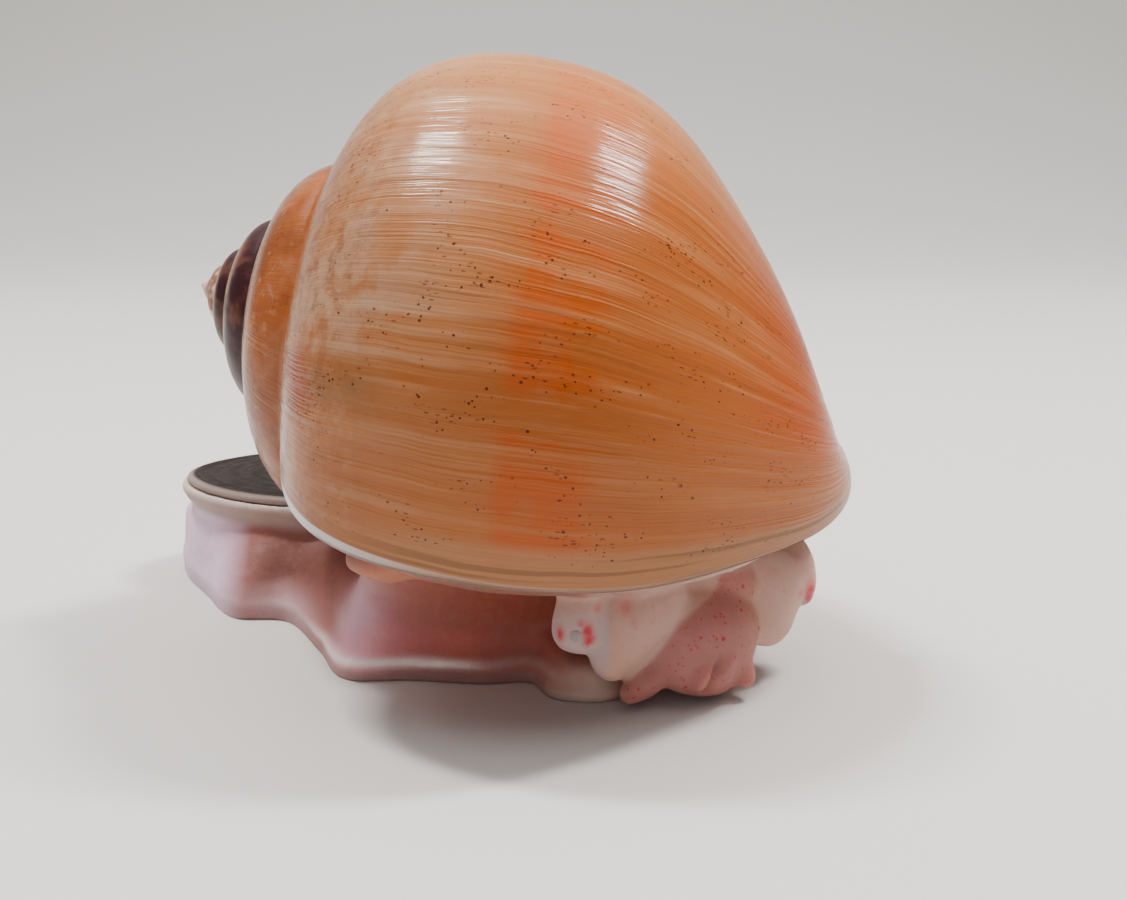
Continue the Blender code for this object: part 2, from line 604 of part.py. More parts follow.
def build_head():
    """The head with its snout, lips, tentacles, eyestalks and eyes, before they are cut from each other."""
    pieces = {}
    for name, (path, radii, flat, side, rings, sides, colour) in LIMBS.items():
        pieces[name] = make(name, *limb(path, radii, flat, side, rings, sides), colour, SKIN_ROUGHNESS)
    snout = pieces["snout"]
    for path in LIPS:
        lip = make("lip", *limb(path, LIP_RADII, 1.0, ACROSS, 9, 12), MAUVE, SKIN_ROUGHNESS)
        boolean(snout, lip, "UNION")
    slit = make("slit", *limb(MOUTH_SLIT, SLIT_RADII, SLIT_FLAT, ACROSS, 9, 10), MAUVE, SKIN_ROUGHNESS)
    boolean(snout, slit, "DIFFERENCE")
    UNCUT["snout"] = snout.data.copy()
    for name, (spot, look) in EYES.items():
        spot = np.array(spot)
        look = np.array(look) / np.linalg.norm(look)
        dome = limb([spot - look * EYE_DEPTH, spot, spot + look * EYE_DEPTH], (EYE_RADIUS,) * 3, 1.0, UP,
                    7, 14)
        pieces[name] = make(name, *dome, EYE_COLOUR, 0.15)
    return pieces


def build_snail():
    for old in list(bpy.data.objects):
        bpy.data.objects.remove(old, do_unlink=True)
    shell = build_shell()
    mantle = build_mantle()
    clear_of(mantle, shell)
    foot = build_foot()
    clear_of(foot, shell)
    front, tail, middle = part_foot(foot)
    pad = plate("opercular_lobe", PAD_MARGIN, OPERCULUM_BOTTOM - GAP - PAD_THICK, PAD_THICK, 0.0,
                PAD_STEPS, (0.85, 0.68, 0.52), 0.5)
    clear_of(pad, tail, middle, shell)
    operculum = plate("operculum", 0.0, OPERCULUM_BOTTOM, OPERCULUM_THICK, OPERCULUM_DISH, GROWTH_STEPS,
                      (0.20, 0.17, 0.15), 0.6)
    clear_of(operculum, pad, shell)
    stalk = build_stalk()
    clear_of(stalk, shell, mantle, front, middle, tail, pad)
    pieces = build_head()
    head = pieces["head"]
    clear_of(head, shell, mantle, stalk, front, middle)
    snout = pieces["snout"]
    clear_of(snout, head, stalk, front)
    for name in ("tentacle_right", "tentacle_left"):
        clear_of(pieces[name], head, stalk, snout, front, shell)
    for name, neighbour in (("eyestalk_right", "tentacle_right"), ("eyestalk_left", "tentacle_left")):
        clear_of(pieces[name], head, stalk, pieces[neighbour], snout, shell)
    for name, neighbour in (("palp_right", "tentacle_right"), ("palp_left", "tentacle_left")):
        clear_of(pieces[name], snout, front, pieces[neighbour])
    for name, neighbour in (("nuchal_lobe_right", "eyestalk_right"), ("siphon", "eyestalk_left")):
        clear_of(pieces[name], head, stalk, mantle, shell, pieces[neighbour], middle)
    for name, neighbour in (("eye_right", "eyestalk_right"), ("eye_left", "eyestalk_left")):
        clear_of(pieces[name], pieces[neighbour])


build_snail()
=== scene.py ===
# %% [markdown]
# # Apple snail
# A golden apple snail at life size, crawling. Its measured solids come in as a fixed frame. New pieces are
# laid over them: the coiled shell, one skin for all of the soft body, the horn plate on the tail, and the
# two eyes. Lengths are in millimetres until a mesh is made. The floor is z = 0, +X runs from tail to head,
# and the snail's right side faces -Y.

# %% Start
import math

import bpy
import numpy as np
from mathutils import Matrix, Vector


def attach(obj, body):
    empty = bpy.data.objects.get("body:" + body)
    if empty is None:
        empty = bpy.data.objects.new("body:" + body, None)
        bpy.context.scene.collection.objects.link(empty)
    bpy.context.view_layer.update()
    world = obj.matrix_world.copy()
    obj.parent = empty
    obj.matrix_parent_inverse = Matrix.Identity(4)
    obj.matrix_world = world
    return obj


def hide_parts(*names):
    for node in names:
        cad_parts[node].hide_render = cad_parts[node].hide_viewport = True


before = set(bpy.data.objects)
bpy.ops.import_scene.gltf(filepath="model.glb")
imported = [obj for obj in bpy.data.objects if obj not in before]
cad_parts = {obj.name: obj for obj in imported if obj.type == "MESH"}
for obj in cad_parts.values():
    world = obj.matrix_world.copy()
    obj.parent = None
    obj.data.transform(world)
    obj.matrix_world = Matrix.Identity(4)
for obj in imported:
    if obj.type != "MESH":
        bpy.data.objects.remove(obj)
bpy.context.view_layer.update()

MM = 0.001
TURN = 2 * math.pi

# %% [markdown]
# ## Helpers
# Living forms have few straight lines. They could be sculpted, or bent from Blender's simple solids. Here
# they are surfaces worked out as whole arrays, because a few points then set each form and every run gives
# the same one: smooth curves, closed bodies through rings of points, and a noise for their small relief.


# %% Curves, closed bodies and noise
def curve_at(points, place, closed=False):
    """Points of a Catmull-Rom curve: each stretch is a cubic of its two ends and their two neighbours."""
    points = np.asarray(points, float)
    count = len(points)
    spot = np.asarray(place, float) * (count if closed else count - 1)
    k = np.clip(np.floor(spot).astype(int), 0, count - 1 if closed else count - 2)
    u = (spot - k).reshape(-1, *[1] * (points.ndim - 1))
    near = [(k + s) % count if closed else np.clip(k + s, 0, count - 1) for s in (-1, 0, 1, 2)]
    a, b, c, d = (points[index] for index in near)
    return 0.5 * (2 * b + (c - a) * u + (2 * a - 5 * b + 4 * c - d) * u ** 2
                  + (3 * b - a - 3 * c + d) * u ** 3)


def closed_outline(points, samples):
    """A closed smooth outline with its points spaced evenly by length."""
    fine = curve_at(points, np.linspace(0, 1, 24 * len(points), endpoint=False), closed=True)
    fine = np.vstack([fine, fine[:1]])
    length = np.concatenate([[0], np.cumsum(np.linalg.norm(np.diff(fine, axis=0), axis=1))])
    wanted = np.linspace(0, length[-1], samples, endpoint=False)
    return np.stack([np.interp(wanted, length, fine[:, k]) for k in range(fine.shape[1])], 1)


def ring_body(grid, start=None, end=None):
    """Corners and triangles of a body through rings; each end closes with a fan round one corner."""
    rings, sides = grid.shape[:2]
    low = np.arange(rings - 1)[:, None] * sides
    here = np.arange(sides)[None]
    after = (here + 1) % sides
    quads = np.stack([low + here, low + after, low + sides + after, low + sides + here], -1).reshape(-1, 4)
    ends = [grid[0].mean(0) if start is None else start, grid[-1].mean(0) if end is None else end]
    verts = np.concatenate([grid.reshape(-1, 3), np.array(ends)])
    total = rings * sides
    here = here[0]
    after = after[0]
    first = np.stack([np.full(sides, total), after, here], 1)
    last = np.stack([np.full(sides, total + 1), total - sides + here, total - sides + after], 1)
    return verts, np.concatenate([quads[:, [0, 1, 2]], quads[:, [0, 2, 3]], first, last])


def noise(points, seed):
    """Smooth lattice noise from -1 to 1: hashed values at whole numbers, blended between with a cubic."""
    points = np.asarray(points, float)
    base = np.floor(points).astype(np.int64)
    part = points - base
    part = part * part * (3 - 2 * part)
    total = np.zeros(len(points))
    for corner in range(8):
        shift = np.array([corner & 1, corner >> 1 & 1, corner >> 2 & 1])
        cell = base + shift
        hashed = ((cell[:, 0] * 73856093) ^ (cell[:, 1] * 19349663) ^ (cell[:, 2] * 83492791)
                  ^ (seed * 2654435))
        hashed = (hashed ^ (hashed >> 13)) * 1274126177 & 0x7FFFFFFF
        value = ((hashed ^ (hashed >> 16)) & 0xFFFF) / 32767.5 - 1
        total += value * np.prod(np.where(shift == 1, part, 1 - part), axis=1)
    return total


def flip_outward(verts, tris):
    """The triangles turned so that the volume they enclose, a sum of tetrahedra, is above zero."""
    a, b, c = (verts[tris[:, k]] for k in range(3))
    volume = np.sum(a * np.cross(b, c)) / 6
    return tris if volume > 0 else tris[:, ::-1]


def add_object(name, data):
    """A new object in the scene that carries the given mesh, light or camera."""
    made = bpy.data.objects.new(name, data)
    bpy.context.collection.objects.link(made)
    return made


def make(name, verts, tris, corner_uv=None, values=None):
    """A mesh piece at the origin, its corners turned from millimetres into metres."""
    mesh = bpy.data.meshes.new(name)
    mesh.from_pydata((np.asarray(verts) * MM).tolist(), [], np.asarray(tris).tolist())
    if corner_uv is not None:
        layer = mesh.uv_layers.new(name="growth")
        layer.data.foreach_set("uv", np.asarray(corner_uv, np.float32).ravel())
    for key, value in (values or {}).items():
        kind = "FLOAT" if value.ndim == 1 else "FLOAT_COLOR"
        layer = mesh.attributes.new(key, kind, "POINT")
        if value.ndim == 1:
            layer.data.foreach_set("value", value.astype(np.float32))
        else:
            full = np.concatenate([value, np.ones((len(value), 1))], 1).astype(np.float32)
            layer.data.foreach_set("color", full.ravel())
    mesh.shade_smooth()
    print(name, len(verts), "corners", len(tris), "triangles")
    return add_object(name, mesh)


# %% [markdown]
# ## Shell: the section and its coil
# The real shell grows at its lip, so every growth line is an earlier lip, turned about the axis and scaled
# down. It could be modelled whorl by whorl. It is made as it grows instead: one section is carried round the
# axis and grows by a constant factor a turn, so a few numbers place the whorls, the sutures and the lip.

# %% The section and its coil
SPIRE_TIP = np.array([-27.2, 5.8, 27.6])
AXIS_YAW = math.radians(-8.0)
AXIS_DIP = math.radians(11.9)
LIP_ANGLE = math.radians(120.9)
WHORL_GROWTH = 1.793
WHORL_CENTRE = (6.65, 31.08)      # out from the axis and down from the tip, at the lip
WHORL_RADIUS = 21.39
WHORL_WAVES = ((2, 0.019, -0.035), (3, -0.052, -0.003), (4, 0.028, -0.007), (5, -0.019, -0.026))
LIP_LAG = (math.radians(4.7), math.radians(-10.3))
LIP_DRAW_IN = 0.05
LIP_DRAW_IN_AT = math.radians(174.0)
LIP_DRAW_FADE = 0.349             # radians back from the lip
AXIS = np.array([math.cos(AXIS_DIP) * math.cos(AXIS_YAW), math.cos(AXIS_DIP) * math.sin(AXIS_YAW),
                 -math.sin(AXIS_DIP)])
ABOVE = np.array([math.sin(AXIS_DIP) * math.cos(AXIS_YAW), math.sin(AXIS_DIP) * math.sin(AXIS_YAW),
                  math.cos(AXIS_DIP)])
RIGHT = np.cross(AXIS, ABOVE)


def whorl(psi):
    """Distance from the axis and depth of the section: a circle with a few low waves round it."""
    swell = 1 + sum(c * np.cos(n * psi) + s * np.sin(n * psi) for n, c, s in WHORL_WAVES)
    radius = WHORL_RADIUS * swell
    return WHORL_CENTRE[0] + radius * np.sin(psi), WHORL_CENTRE[1] - radius * np.cos(psi)


def coil(turn, out, down):
    """A point of the section carried round the axis: its angle is the turn, its size a power of it."""
    size = WHORL_GROWTH ** (turn / TURN)
    angle = LIP_ANGLE + turn
    return (SPIRE_TIP + (size * out * np.cos(angle))[..., None] * ABOVE
            + (size * out * np.sin(angle))[..., None] * RIGHT + (size * down)[..., None] * AXIS)


def lag(turn, psi):
    """How far a growth line runs ahead or hangs back: a cosine and a sine of psi, fading up the spire."""
    return (LIP_LAG[0] * np.cos(psi) + LIP_LAG[1] * np.sin(psi)) * np.exp(turn)


print("growth a turn", WHORL_GROWTH, "axis", AXIS.round(3))

# %% [markdown]
# ## Shell: where the section begins and ends
# Each whorl lies against the one before it, and the line where they meet is the suture. Its two angles on
# the section could be set by eye, but that leaves a gap or an overlap. They are measured here, so that the
# whorls can share their corners at the suture.

# %% Where the section begins and ends
UMBILICUS_RADIUS = 1.2
UMBILICUS_FLOOR = 42.0
ROWS_UP = 20
ROWS_DOWN = 92


def suture_angles():
    """The angles on the section where it meets the whorl before it and the whorl after it."""
    psi = np.radians(np.linspace(0, 120, 601))
    here = np.stack(whorl(psi), 1)
    apart = np.linalg.norm(here[:, None] - here[None] / WHORL_GROWTH, axis=2)
    apart += 1e3 * (np.arange(len(here))[:, None] >= np.arange(len(here))[None])
    first, second = np.unravel_index(np.argmin(apart), apart.shape)
    return psi[first], psi[second]


def base_angle():
    """The angle past the base where the section comes in to the edge of the umbilicus."""
    psi = np.radians(np.linspace(180, 215, 701))
    return psi[np.argmin(np.abs(whorl(psi)[0] - UMBILICUS_RADIUS))]


PSI_FIRST, PSI_SECOND = suture_angles()
PSI_LAST = base_angle()
ROWS = np.concatenate([np.linspace(PSI_FIRST, PSI_SECOND, ROWS_UP + 1),
                       np.linspace(PSI_SECOND, PSI_LAST, ROWS_DOWN + 1)[1:]])
print("section from", *np.degrees([PSI_FIRST, PSI_SECOND, PSI_LAST]).round(1), "degrees")

# %% [markdown]
# ## Shell: the mouth
# The mouth's outline runs along the lip, over the umbilicus and back along the whorl before. The lip is
# rounded and goes on inwards as a wall. The hollow could be cut out with a Boolean, which leaves a sharp
# edge. Moving the outline inwards by growing steps, each a little further back in the coil, rounds it.

# %% The mouth and the wall inside it
LIP_EDGE = ((0.05, 0.16), (0.18, 0.28), (0.32, 0.22), (0.44, 0.0), (0.56, -0.8), (0.72, -2.4), (0.95, -6.0),
            (0.95, -14.0), (0.95, -24.0), (0.95, -33.5))   # inset in mm and turn in degrees
CORNER_REACH = (2.4, 1.6)         # mm round the corner, and how it grows with the inset
CORNER_STEP = (1.2, 2.2)          # the corner's own inset: a share, and a limit in mm


def drawn_in(psi, share=1.0):
    """The section's size: one, less the draw-in times the square of a cosine about its middle."""
    return 1 - LIP_DRAW_IN * np.maximum(0, np.cos(psi - LIP_DRAW_IN_AT)) ** 2 * share


def mouth_outline():
    """The mouth as lag, distance out and depth: the outer lip, the umbilicus, then the wall inside."""
    out, down = whorl(ROWS)
    pull = drawn_in(ROWS)
    lip = np.stack([lag(0.0, ROWS), WHORL_CENTRE[0] + (out - WHORL_CENTRE[0]) * pull,
                    WHORL_CENTRE[1] + (down - WHORL_CENTRE[1]) * pull], 1)
    wall = np.stack([0 * ROWS, out / WHORL_GROWTH, down / WHORL_GROWTH], 1)[:ROWS_UP:-1]
    return np.concatenate([lip, [[0.0, 0.0, UMBILICUS_FLOOR]], wall])


def inset(loop, distance):
    """The outline moved inwards along its normals; less and less towards the sharp corner at the suture."""
    flat = loop[:, 1:]
    edge = np.roll(flat, -1, 0) - flat
    inward = np.stack([-edge[:, 1], edge[:, 0]], 1)
    inward /= np.linalg.norm(inward, axis=1, keepdims=True)
    area = 0.5 * np.sum(flat[:, 0] * np.roll(flat[:, 1], -1) - np.roll(flat[:, 0], -1) * flat[:, 1])
    inward *= math.copysign(1, area)
    both = inward + np.roll(inward, 1, 0)
    both /= np.linalg.norm(both, axis=1, keepdims=True)
    inward = both / np.maximum(0.5, np.sum(both * inward, axis=1, keepdims=True))
    away = np.linalg.norm(flat - flat[0], axis=1)
    reach = CORNER_REACH[0] + CORNER_REACH[1] * distance
    moved = loop.copy()
    moved[:, 1:] = flat + inward * (distance * np.minimum(1, away / reach))[:, None]
    corner = 0.5 * (flat[1] + flat[-1]) - flat[0]
    moved[0, 1:] = flat[0] + corner / np.linalg.norm(corner) * min(CORNER_STEP[0] * distance, CORNER_STEP[1])
    return moved


def mouth_ring(loop, degrees):
    """The outline in place, some degrees before the lip or past it."""
    turn = math.radians(degrees)
    return coil(turn + loop[:, 0] * math.exp(min(turn, 0.0)), loop[:, 1], loop[:, 2])


print("mouth", len(mouth_outline()), "points")

# %% [markdown]
# ## Shell: one closed surface
# A grid of turns and angles gives the whorls. They could simply overlap, but then they would not be one
# closed surface. So rows that an outer whorl would hide are left out, and where two whorls touch they share
# one row of corners. The growth lines are low ridges in the mesh. The lip's rings, the umbilicus and the tip
# close the surface, and its map keeps the turn and the angle for the finish.

# %% The shell's surface
WHORLS = 4.5
COLUMNS = 400                     # a turn
SEAM_WIDTH = 0.12                 # radians; the ridges fade out in it at a suture
BASE_WIDTH = 0.2                  # and in this at the base


def wrinkles(turn, psi):
    """Relief of the growth lines in mm: noise that varies quickly along the growth and slowly across it."""
    wide = noise(np.stack([turn * 5.0, psi * 0.9, 0 * turn], 1), 3)
    fine = noise(np.stack([turn * 15.0, psi * 1.6, 0 * turn + 9], 1), 4)
    return 0.06 * wide + 0.025 * fine


def build_shell():
    """One closed surface: the coil from tip to lip, the rounded lip, and the inside back to a wall."""
    columns = int(WHORLS * COLUMNS)
    final = columns - COLUMNS
    turns = (np.arange(columns + 1) - columns) * TURN / COLUMNS
    turn, psi = np.meshgrid(turns, ROWS, indexing="ij")
    out, down = whorl(psi)
    edge = np.minimum((psi - PSI_FIRST) / SEAM_WIDTH, 1) * np.where(
        turn < -TURN, np.minimum((PSI_SECOND - psi) / SEAM_WIDTH, 1),
        np.minimum((PSI_LAST - psi) / BASE_WIDTH, 1)).clip(0, 1)
    raised = wrinkles(turn.ravel(), psi.ravel()).reshape(turn.shape) * edge
    draw = drawn_in(psi, np.exp(turn / LIP_DRAW_FADE)) * (1 + raised / WHORL_RADIUS)
    grid = coil(turn + lag(turn, psi), WHORL_CENTRE[0] + (out - WHORL_CENTRE[0]) * draw,
                WHORL_CENTRE[1] + (down - WHORL_CENTRE[1]) * draw)
    # Corners that stay: the rows up to the suture, and all rows of the last whorl.
    i, j = np.indices(turn.shape)
    kept = ((j < ROWS_UP) | (i >= final)) & ~((j == ROWS_UP) & (i <= final))
    number = np.full(turn.shape, -1)
    number[kept] = np.arange(kept.sum())
    number[:final + 1, ROWS_UP] = number[COLUMNS:, 0]
    verts = [grid[kept]]
    base = len(ROWS) - 1
    # Faces of the grid, each corner with its place on the map.
    a, b = np.indices((columns, base))
    used = (b < ROWS_UP) | (a >= final)
    a, b = a[used], b[used]
    corners = [(a, b), (a + 1, b), (a + 1, b + 1), (a, b + 1)]
    quad = np.stack([number[c] for c in corners], 1)
    place = np.stack([np.stack([turns[c] / TURN, ROWS[r]], 1) for c, r in corners], 1)
    tris = [quad[:, [0, 1, 2]], quad[:, [0, 2, 3]]]
    maps = [place[:, [0, 1, 2]], place[:, [0, 2, 3]]]
    count = int(kept.sum())
    # Fans close the tip and the umbilicus.
    verts += [SPIRE_TIP[None], coil(np.zeros(1), 0.0, UMBILICUS_FLOOR)]
    tip, floor = count, count + 1
    count += 2
    k = np.arange(COLUMNS)
    tris.append(np.stack([number[k, 0], number[k + 1, 0], 0 * k + tip], 1))
    maps.append(np.broadcast_to([-WHORLS, PSI_FIRST], (COLUMNS, 3, 2)))
    k = np.arange(ROWS_UP)
    tris.append(np.stack([number[0, k + 1], number[0, k], 0 * k + tip], 1))
    maps.append(np.broadcast_to([-WHORLS, PSI_FIRST], (ROWS_UP, 3, 2)))
    k = np.arange(final, columns)
    tris.append(np.stack([number[k, base], number[k + 1, base], 0 * k + floor], 1))
    flat = np.stack([turns[k], turns[k + 1], turns[k]], 1) / TURN
    maps.append(np.stack([flat, np.full(flat.shape, PSI_LAST)], 2))
    # The lip's rings, from the edge of the grid inwards to a last fan.
    ring = np.concatenate([number[columns], [floor], number[final, base:ROWS_UP:-1]])
    around = np.concatenate([ROWS, [PSI_LAST], ROWS[base:ROWS_UP:-1]])
    rim = [np.zeros(count)]
    loop = mouth_outline()
    for distance, degrees in LIP_EDGE:
        verts.append(mouth_ring(inset(loop, distance), degrees))
        fresh = count + np.arange(len(loop))
        count += len(loop)
        after = np.roll(np.arange(len(loop)), -1)
        tris += [np.stack([ring, ring[after], fresh[after]], 1), np.stack([ring, fresh[after], fresh], 1)]
        spot = np.stack([np.zeros(len(loop)), around], 1)
        maps += [spot[:, None].repeat(3, 1), spot[:, None].repeat(3, 1)]
        rim.append(np.full(len(loop), 1.0 if degrees > -1 else 0.6))
        ring = fresh
    verts.append(mouth_ring(inset(loop, LIP_EDGE[-1][0]), LIP_EDGE[-1][1]).mean(0)[None])
    rim.append(np.full(1, 0.6))
    tris.append(np.stack([ring, np.roll(ring, -1), np.full(len(ring), count)], 1))
    maps.append(np.broadcast_to([0.0, 1.0], (len(ring), 3, 2)))
    verts, tris, maps = np.concatenate(verts), np.concatenate(tris), np.concatenate(maps)
    turned = flip_outward(verts, tris)
    if turned is not tris:
        maps = maps[:, ::-1]
    return make("shell_coil", verts, turned, maps.reshape(-1, 2), {"rim": np.concatenate(rim)})


shell = build_shell()

# %% [markdown]
# ## Foot
# On the animal the foot, trunk, head and mantle are one skin. It could be sculpted by hand or joined from
# simple forms. Simple closed forms are used, because each keeps its measured place: they are made on the
# places of the solids here and in the next cells, and then become one skin.
# The foot is its sole's outline, drawn in towards a middle line as the side wall rises.

# %% The foot's body
SOLE = ((1.2, -13.4), (5.2, -13.8), (9.0, -10.2), (15.0, -5.0), (18.5, 1.5), (16.0, 9.0), (8.0, 15.5),
        (-2.0, 21.0), (-12.0, 25.6), (-21.5, 27.4), (-29.0, 25.6), (-33.4, 20.5), (-32.6, 15.5),
        (-29.2, 9.4), (-25.8, 3.8), (-21.0, 2.8), (-17.2, -4.0), (-14.5, -9.6), (-9.5, -9.9),
        (-4.0, -10.6), (-0.5, -10.4))
SOLE_SAMPLES = 360
SPINE = ((13.0, -3.0), (4.0, 0.5), (-6.0, 6.5), (-16.0, 13.0), (-26.0, 18.5))
SPINE_SMOOTHING = 60              # passes
FOOT_LOW = 4.5
FOOT_HIGH = 6.6
FOOT_FRONT = 2.6
EDGE_SHARE = 0.225                # of the height, where the sole's edge reaches furthest
FOOT_SECTION = ((0.985, -0.12), (0.985, 0.03), (0.99, 0.10), (0.985, 0.17), (1.0, EDGE_SHARE), (0.99, 0.27),
                (0.97, 0.36), (0.955, 0.50), (0.945, 0.68), (0.93, 0.84), (0.86, 0.95), (0.6, 1.0),
                (0.3, 1.0), (0.08, 1.0))       # shares of the way out and of the height
NEAR_FLARE = 2.2                  # how far the near wall draws in above its edge
TAIL_FLARE = 3.4                  # the same for the near wall of the tail, under the plate
WALL_SHARE = 0.35                 # of the height, where the tail's wall begins to draw in
RIPPLE = 0.25                     # of the near edge, in mm
RIPPLE_WAVES = 0.9                # radians a mm
RIM_HEIGHT = 1.45                 # of the pale line along the edge
AHEAD = np.array([0.5, -0.866, 0.0])
ACROSS = np.array([0.866, 0.5, 0.0])


def between(value, start, end):
    """0 at the start, 1 at the end and straight in between; the start may be the higher number."""
    return np.clip((value - start) / (end - start), 0, 1)


def foot_height(x, y):
    """Height of the foot's back: low under the shell, high at the tail, thin at the front edge."""
    rise = between(x, 5.0, -7.0)
    rise = rise * rise * (3 - 2 * rise)
    front = between(x * AHEAD[0] + y * AHEAD[1], 6.0, 11.0)
    return (FOOT_LOW + (FOOT_HIGH - FOOT_LOW) * rise) * (1 - front) + FOOT_FRONT * front


def foot_body():
    """Rings of the outline between its place and the middle line, each at its share of the height."""
    outline = closed_outline(SOLE, SOLE_SAMPLES)
    spine = curve_at(SPINE, np.linspace(0, 1, 200))
    middle = spine[np.argmin(np.linalg.norm(outline[:, None] - spine[None], axis=2), axis=1)]
    for _ in range(SPINE_SMOOTHING):
        middle = (np.roll(middle, 1, 0) + 2 * middle + np.roll(middle, -1, 0)) / 4
    inward = middle - outline
    inward /= np.linalg.norm(inward, axis=1, keepdims=True)
    x, y = outline.T
    near = between(x, -26, -18) * between(x, 4, -1) * (y < 6)
    behind = between(x, -17, -22) * between(x, -31, -27) * (y < 14)
    rings = []
    for reach, height in FOOT_SECTION:
        flare = NEAR_FLARE * max(0.0, height - EDGE_SHARE) ** 0.7 * near
        flare = flare + TAIL_FLARE * max(0.0, height - WALL_SHARE) * behind
        ring = middle + (outline - middle) * reach + inward * flare[:, None]
        wave = RIPPLE * near * np.sin(x * RIPPLE_WAVES) * (0 < height < 0.6)
        level = foot_height(ring[:, 0], ring[:, 1]) * height + wave * height * 3
        rings.append(np.column_stack([ring, level]))
    return ring_body(np.stack(rings))


foot = foot_body()
print("foot", len(foot[0]), "corners")

# %% [markdown]
# ## Trunk, mantle and the lobe under the plate
# The trunk comes out of the mouth beside the axis and stands on the foot. The mantle lines the mouth, and
# its rounded collar lies just inside the lip. Both use the shell's own coil, so they follow it without
# fitting by eye. The lobe on the tail is the plate's oval a little larger, with a rounded edge.

# %% Trunk, mantle and lobe
TRUNK_LEAN = math.radians(22.0)
TRUNK_CENTRE = (16.0, 35.5)       # out from the axis and down from the tip
TRUNK_HALF = (15.0, 5.8)
TRUNK_INSIDE = ((-14.0, 1.0), (-7.0, 1.0), (0.0, 0.98))      # degrees before the lip, size
TRUNK_BELOW = ((-1.5, -5.4, 12.2, 4.6, 7.9), (-1.0, -4.2, 12.8, 4.7, 5.6),
               (-0.5, -3.2, 13.6, 4.9, 3.6))                 # middle, half sizes and height
COLLAR = ((1.35, -30.0), (1.35, -20.0), (1.35, -11.0), (1.35, -6.5), (1.5, -4.6), (2.0, -3.6),
          (2.6, -4.2), (3.2, -6.0), (4.2, -8.5))             # inset in mm and turn in degrees
PLATE_CENTRE = np.array([-17.8, 16.4])
PLATE_HALF = (13.8, 8.9)
PLATE_BOTTOM = 8.3
PLATE_SHIFT = 0.6
PLATE_SPIN = math.radians(-4.0)
PAD_MARGIN = 0.45
PAD_SECTION = ((0.5, 6.0), (0.88, 6.1), (0.91, 6.6), (0.945, 7.1), (0.98, 7.6), (1.0, 8.1), (1.0, 8.7),
               (0.985, 9.0), (0.962, 8.9), (0.93, 8.4), (0.5, 8.25))        # reach and height


def trunk_body():
    """Oval rings from inside the mouth, round the lip's inner wall and down on to the foot's back."""
    angle = np.linspace(0, TURN, 80, endpoint=False)
    rings = []
    for degrees, size in TRUNK_INSIDE:
        long = TRUNK_HALF[0] * size * np.cos(angle)
        wide = TRUNK_HALF[1] * size * np.sin(angle)
        out = TRUNK_CENTRE[0] + long * math.sin(TRUNK_LEAN) + wide * math.cos(TRUNK_LEAN)
        down = TRUNK_CENTRE[1] - long * math.cos(TRUNK_LEAN) + wide * math.sin(TRUNK_LEAN)
        rings.append(coil(math.radians(degrees) + 0 * angle, out, down))
    for x, y, half_x, half_y, height in TRUNK_BELOW:
        rings.append(np.column_stack([x - half_x * np.cos(angle), y - half_y * np.sin(angle),
                                      height + 0 * angle]))
    return ring_body(np.stack(rings))


def mantle_body():
    """The mouth's outline, drawn in and turned back by the steps of the collar."""
    loop = mouth_outline()
    return ring_body(np.stack([mouth_ring(inset(loop, distance), degrees) for distance, degrees in COLLAR]))


def plate_ring(angle, reach, height, margin=0.0, drift=0.0):
    """One ring of the plate's oval, blunter at one end, turned a little and set on the tail.

    The width is a sine times one minus two small cosines, which makes the blunt end.
    """
    x = (PLATE_HALF[0] + margin) * np.cos(angle) * reach - PLATE_SHIFT * reach
    y = (PLATE_HALF[1] + margin) * np.sin(angle) * reach * (
        1 - 0.10 * np.cos(2 * angle) - 0.04 * np.cos(angle)) + drift
    return np.column_stack([PLATE_CENTRE[0] + x * math.cos(PLATE_SPIN) - y * math.sin(PLATE_SPIN),
                            PLATE_CENTRE[1] + x * math.sin(PLATE_SPIN) + y * math.cos(PLATE_SPIN),
                            height + 0 * x])


def pad_body():
    """Rings of the plate's oval, from inside the tail up round the edge of the lobe."""
    angle = np.linspace(0, TURN, 120, endpoint=False)
    return ring_body(np.stack([plate_ring(angle, *step, margin=PAD_MARGIN) for step in PAD_SECTION]))


bodies = [foot, trunk_body(), mantle_body(), pad_body()]
print("large bodies", len(bodies))

# %% [markdown]
# ## Head
# The head hangs under the lip: a broad snout with two lips, two tentacles drawn in short, two stalks with an
# eye at the end, two palps, and the siphon behind. Each is a soft limb, a path with a radius that changes
# along it. A limb bends and tapers with a few numbers, which is why it is used in place of a sculpted form.

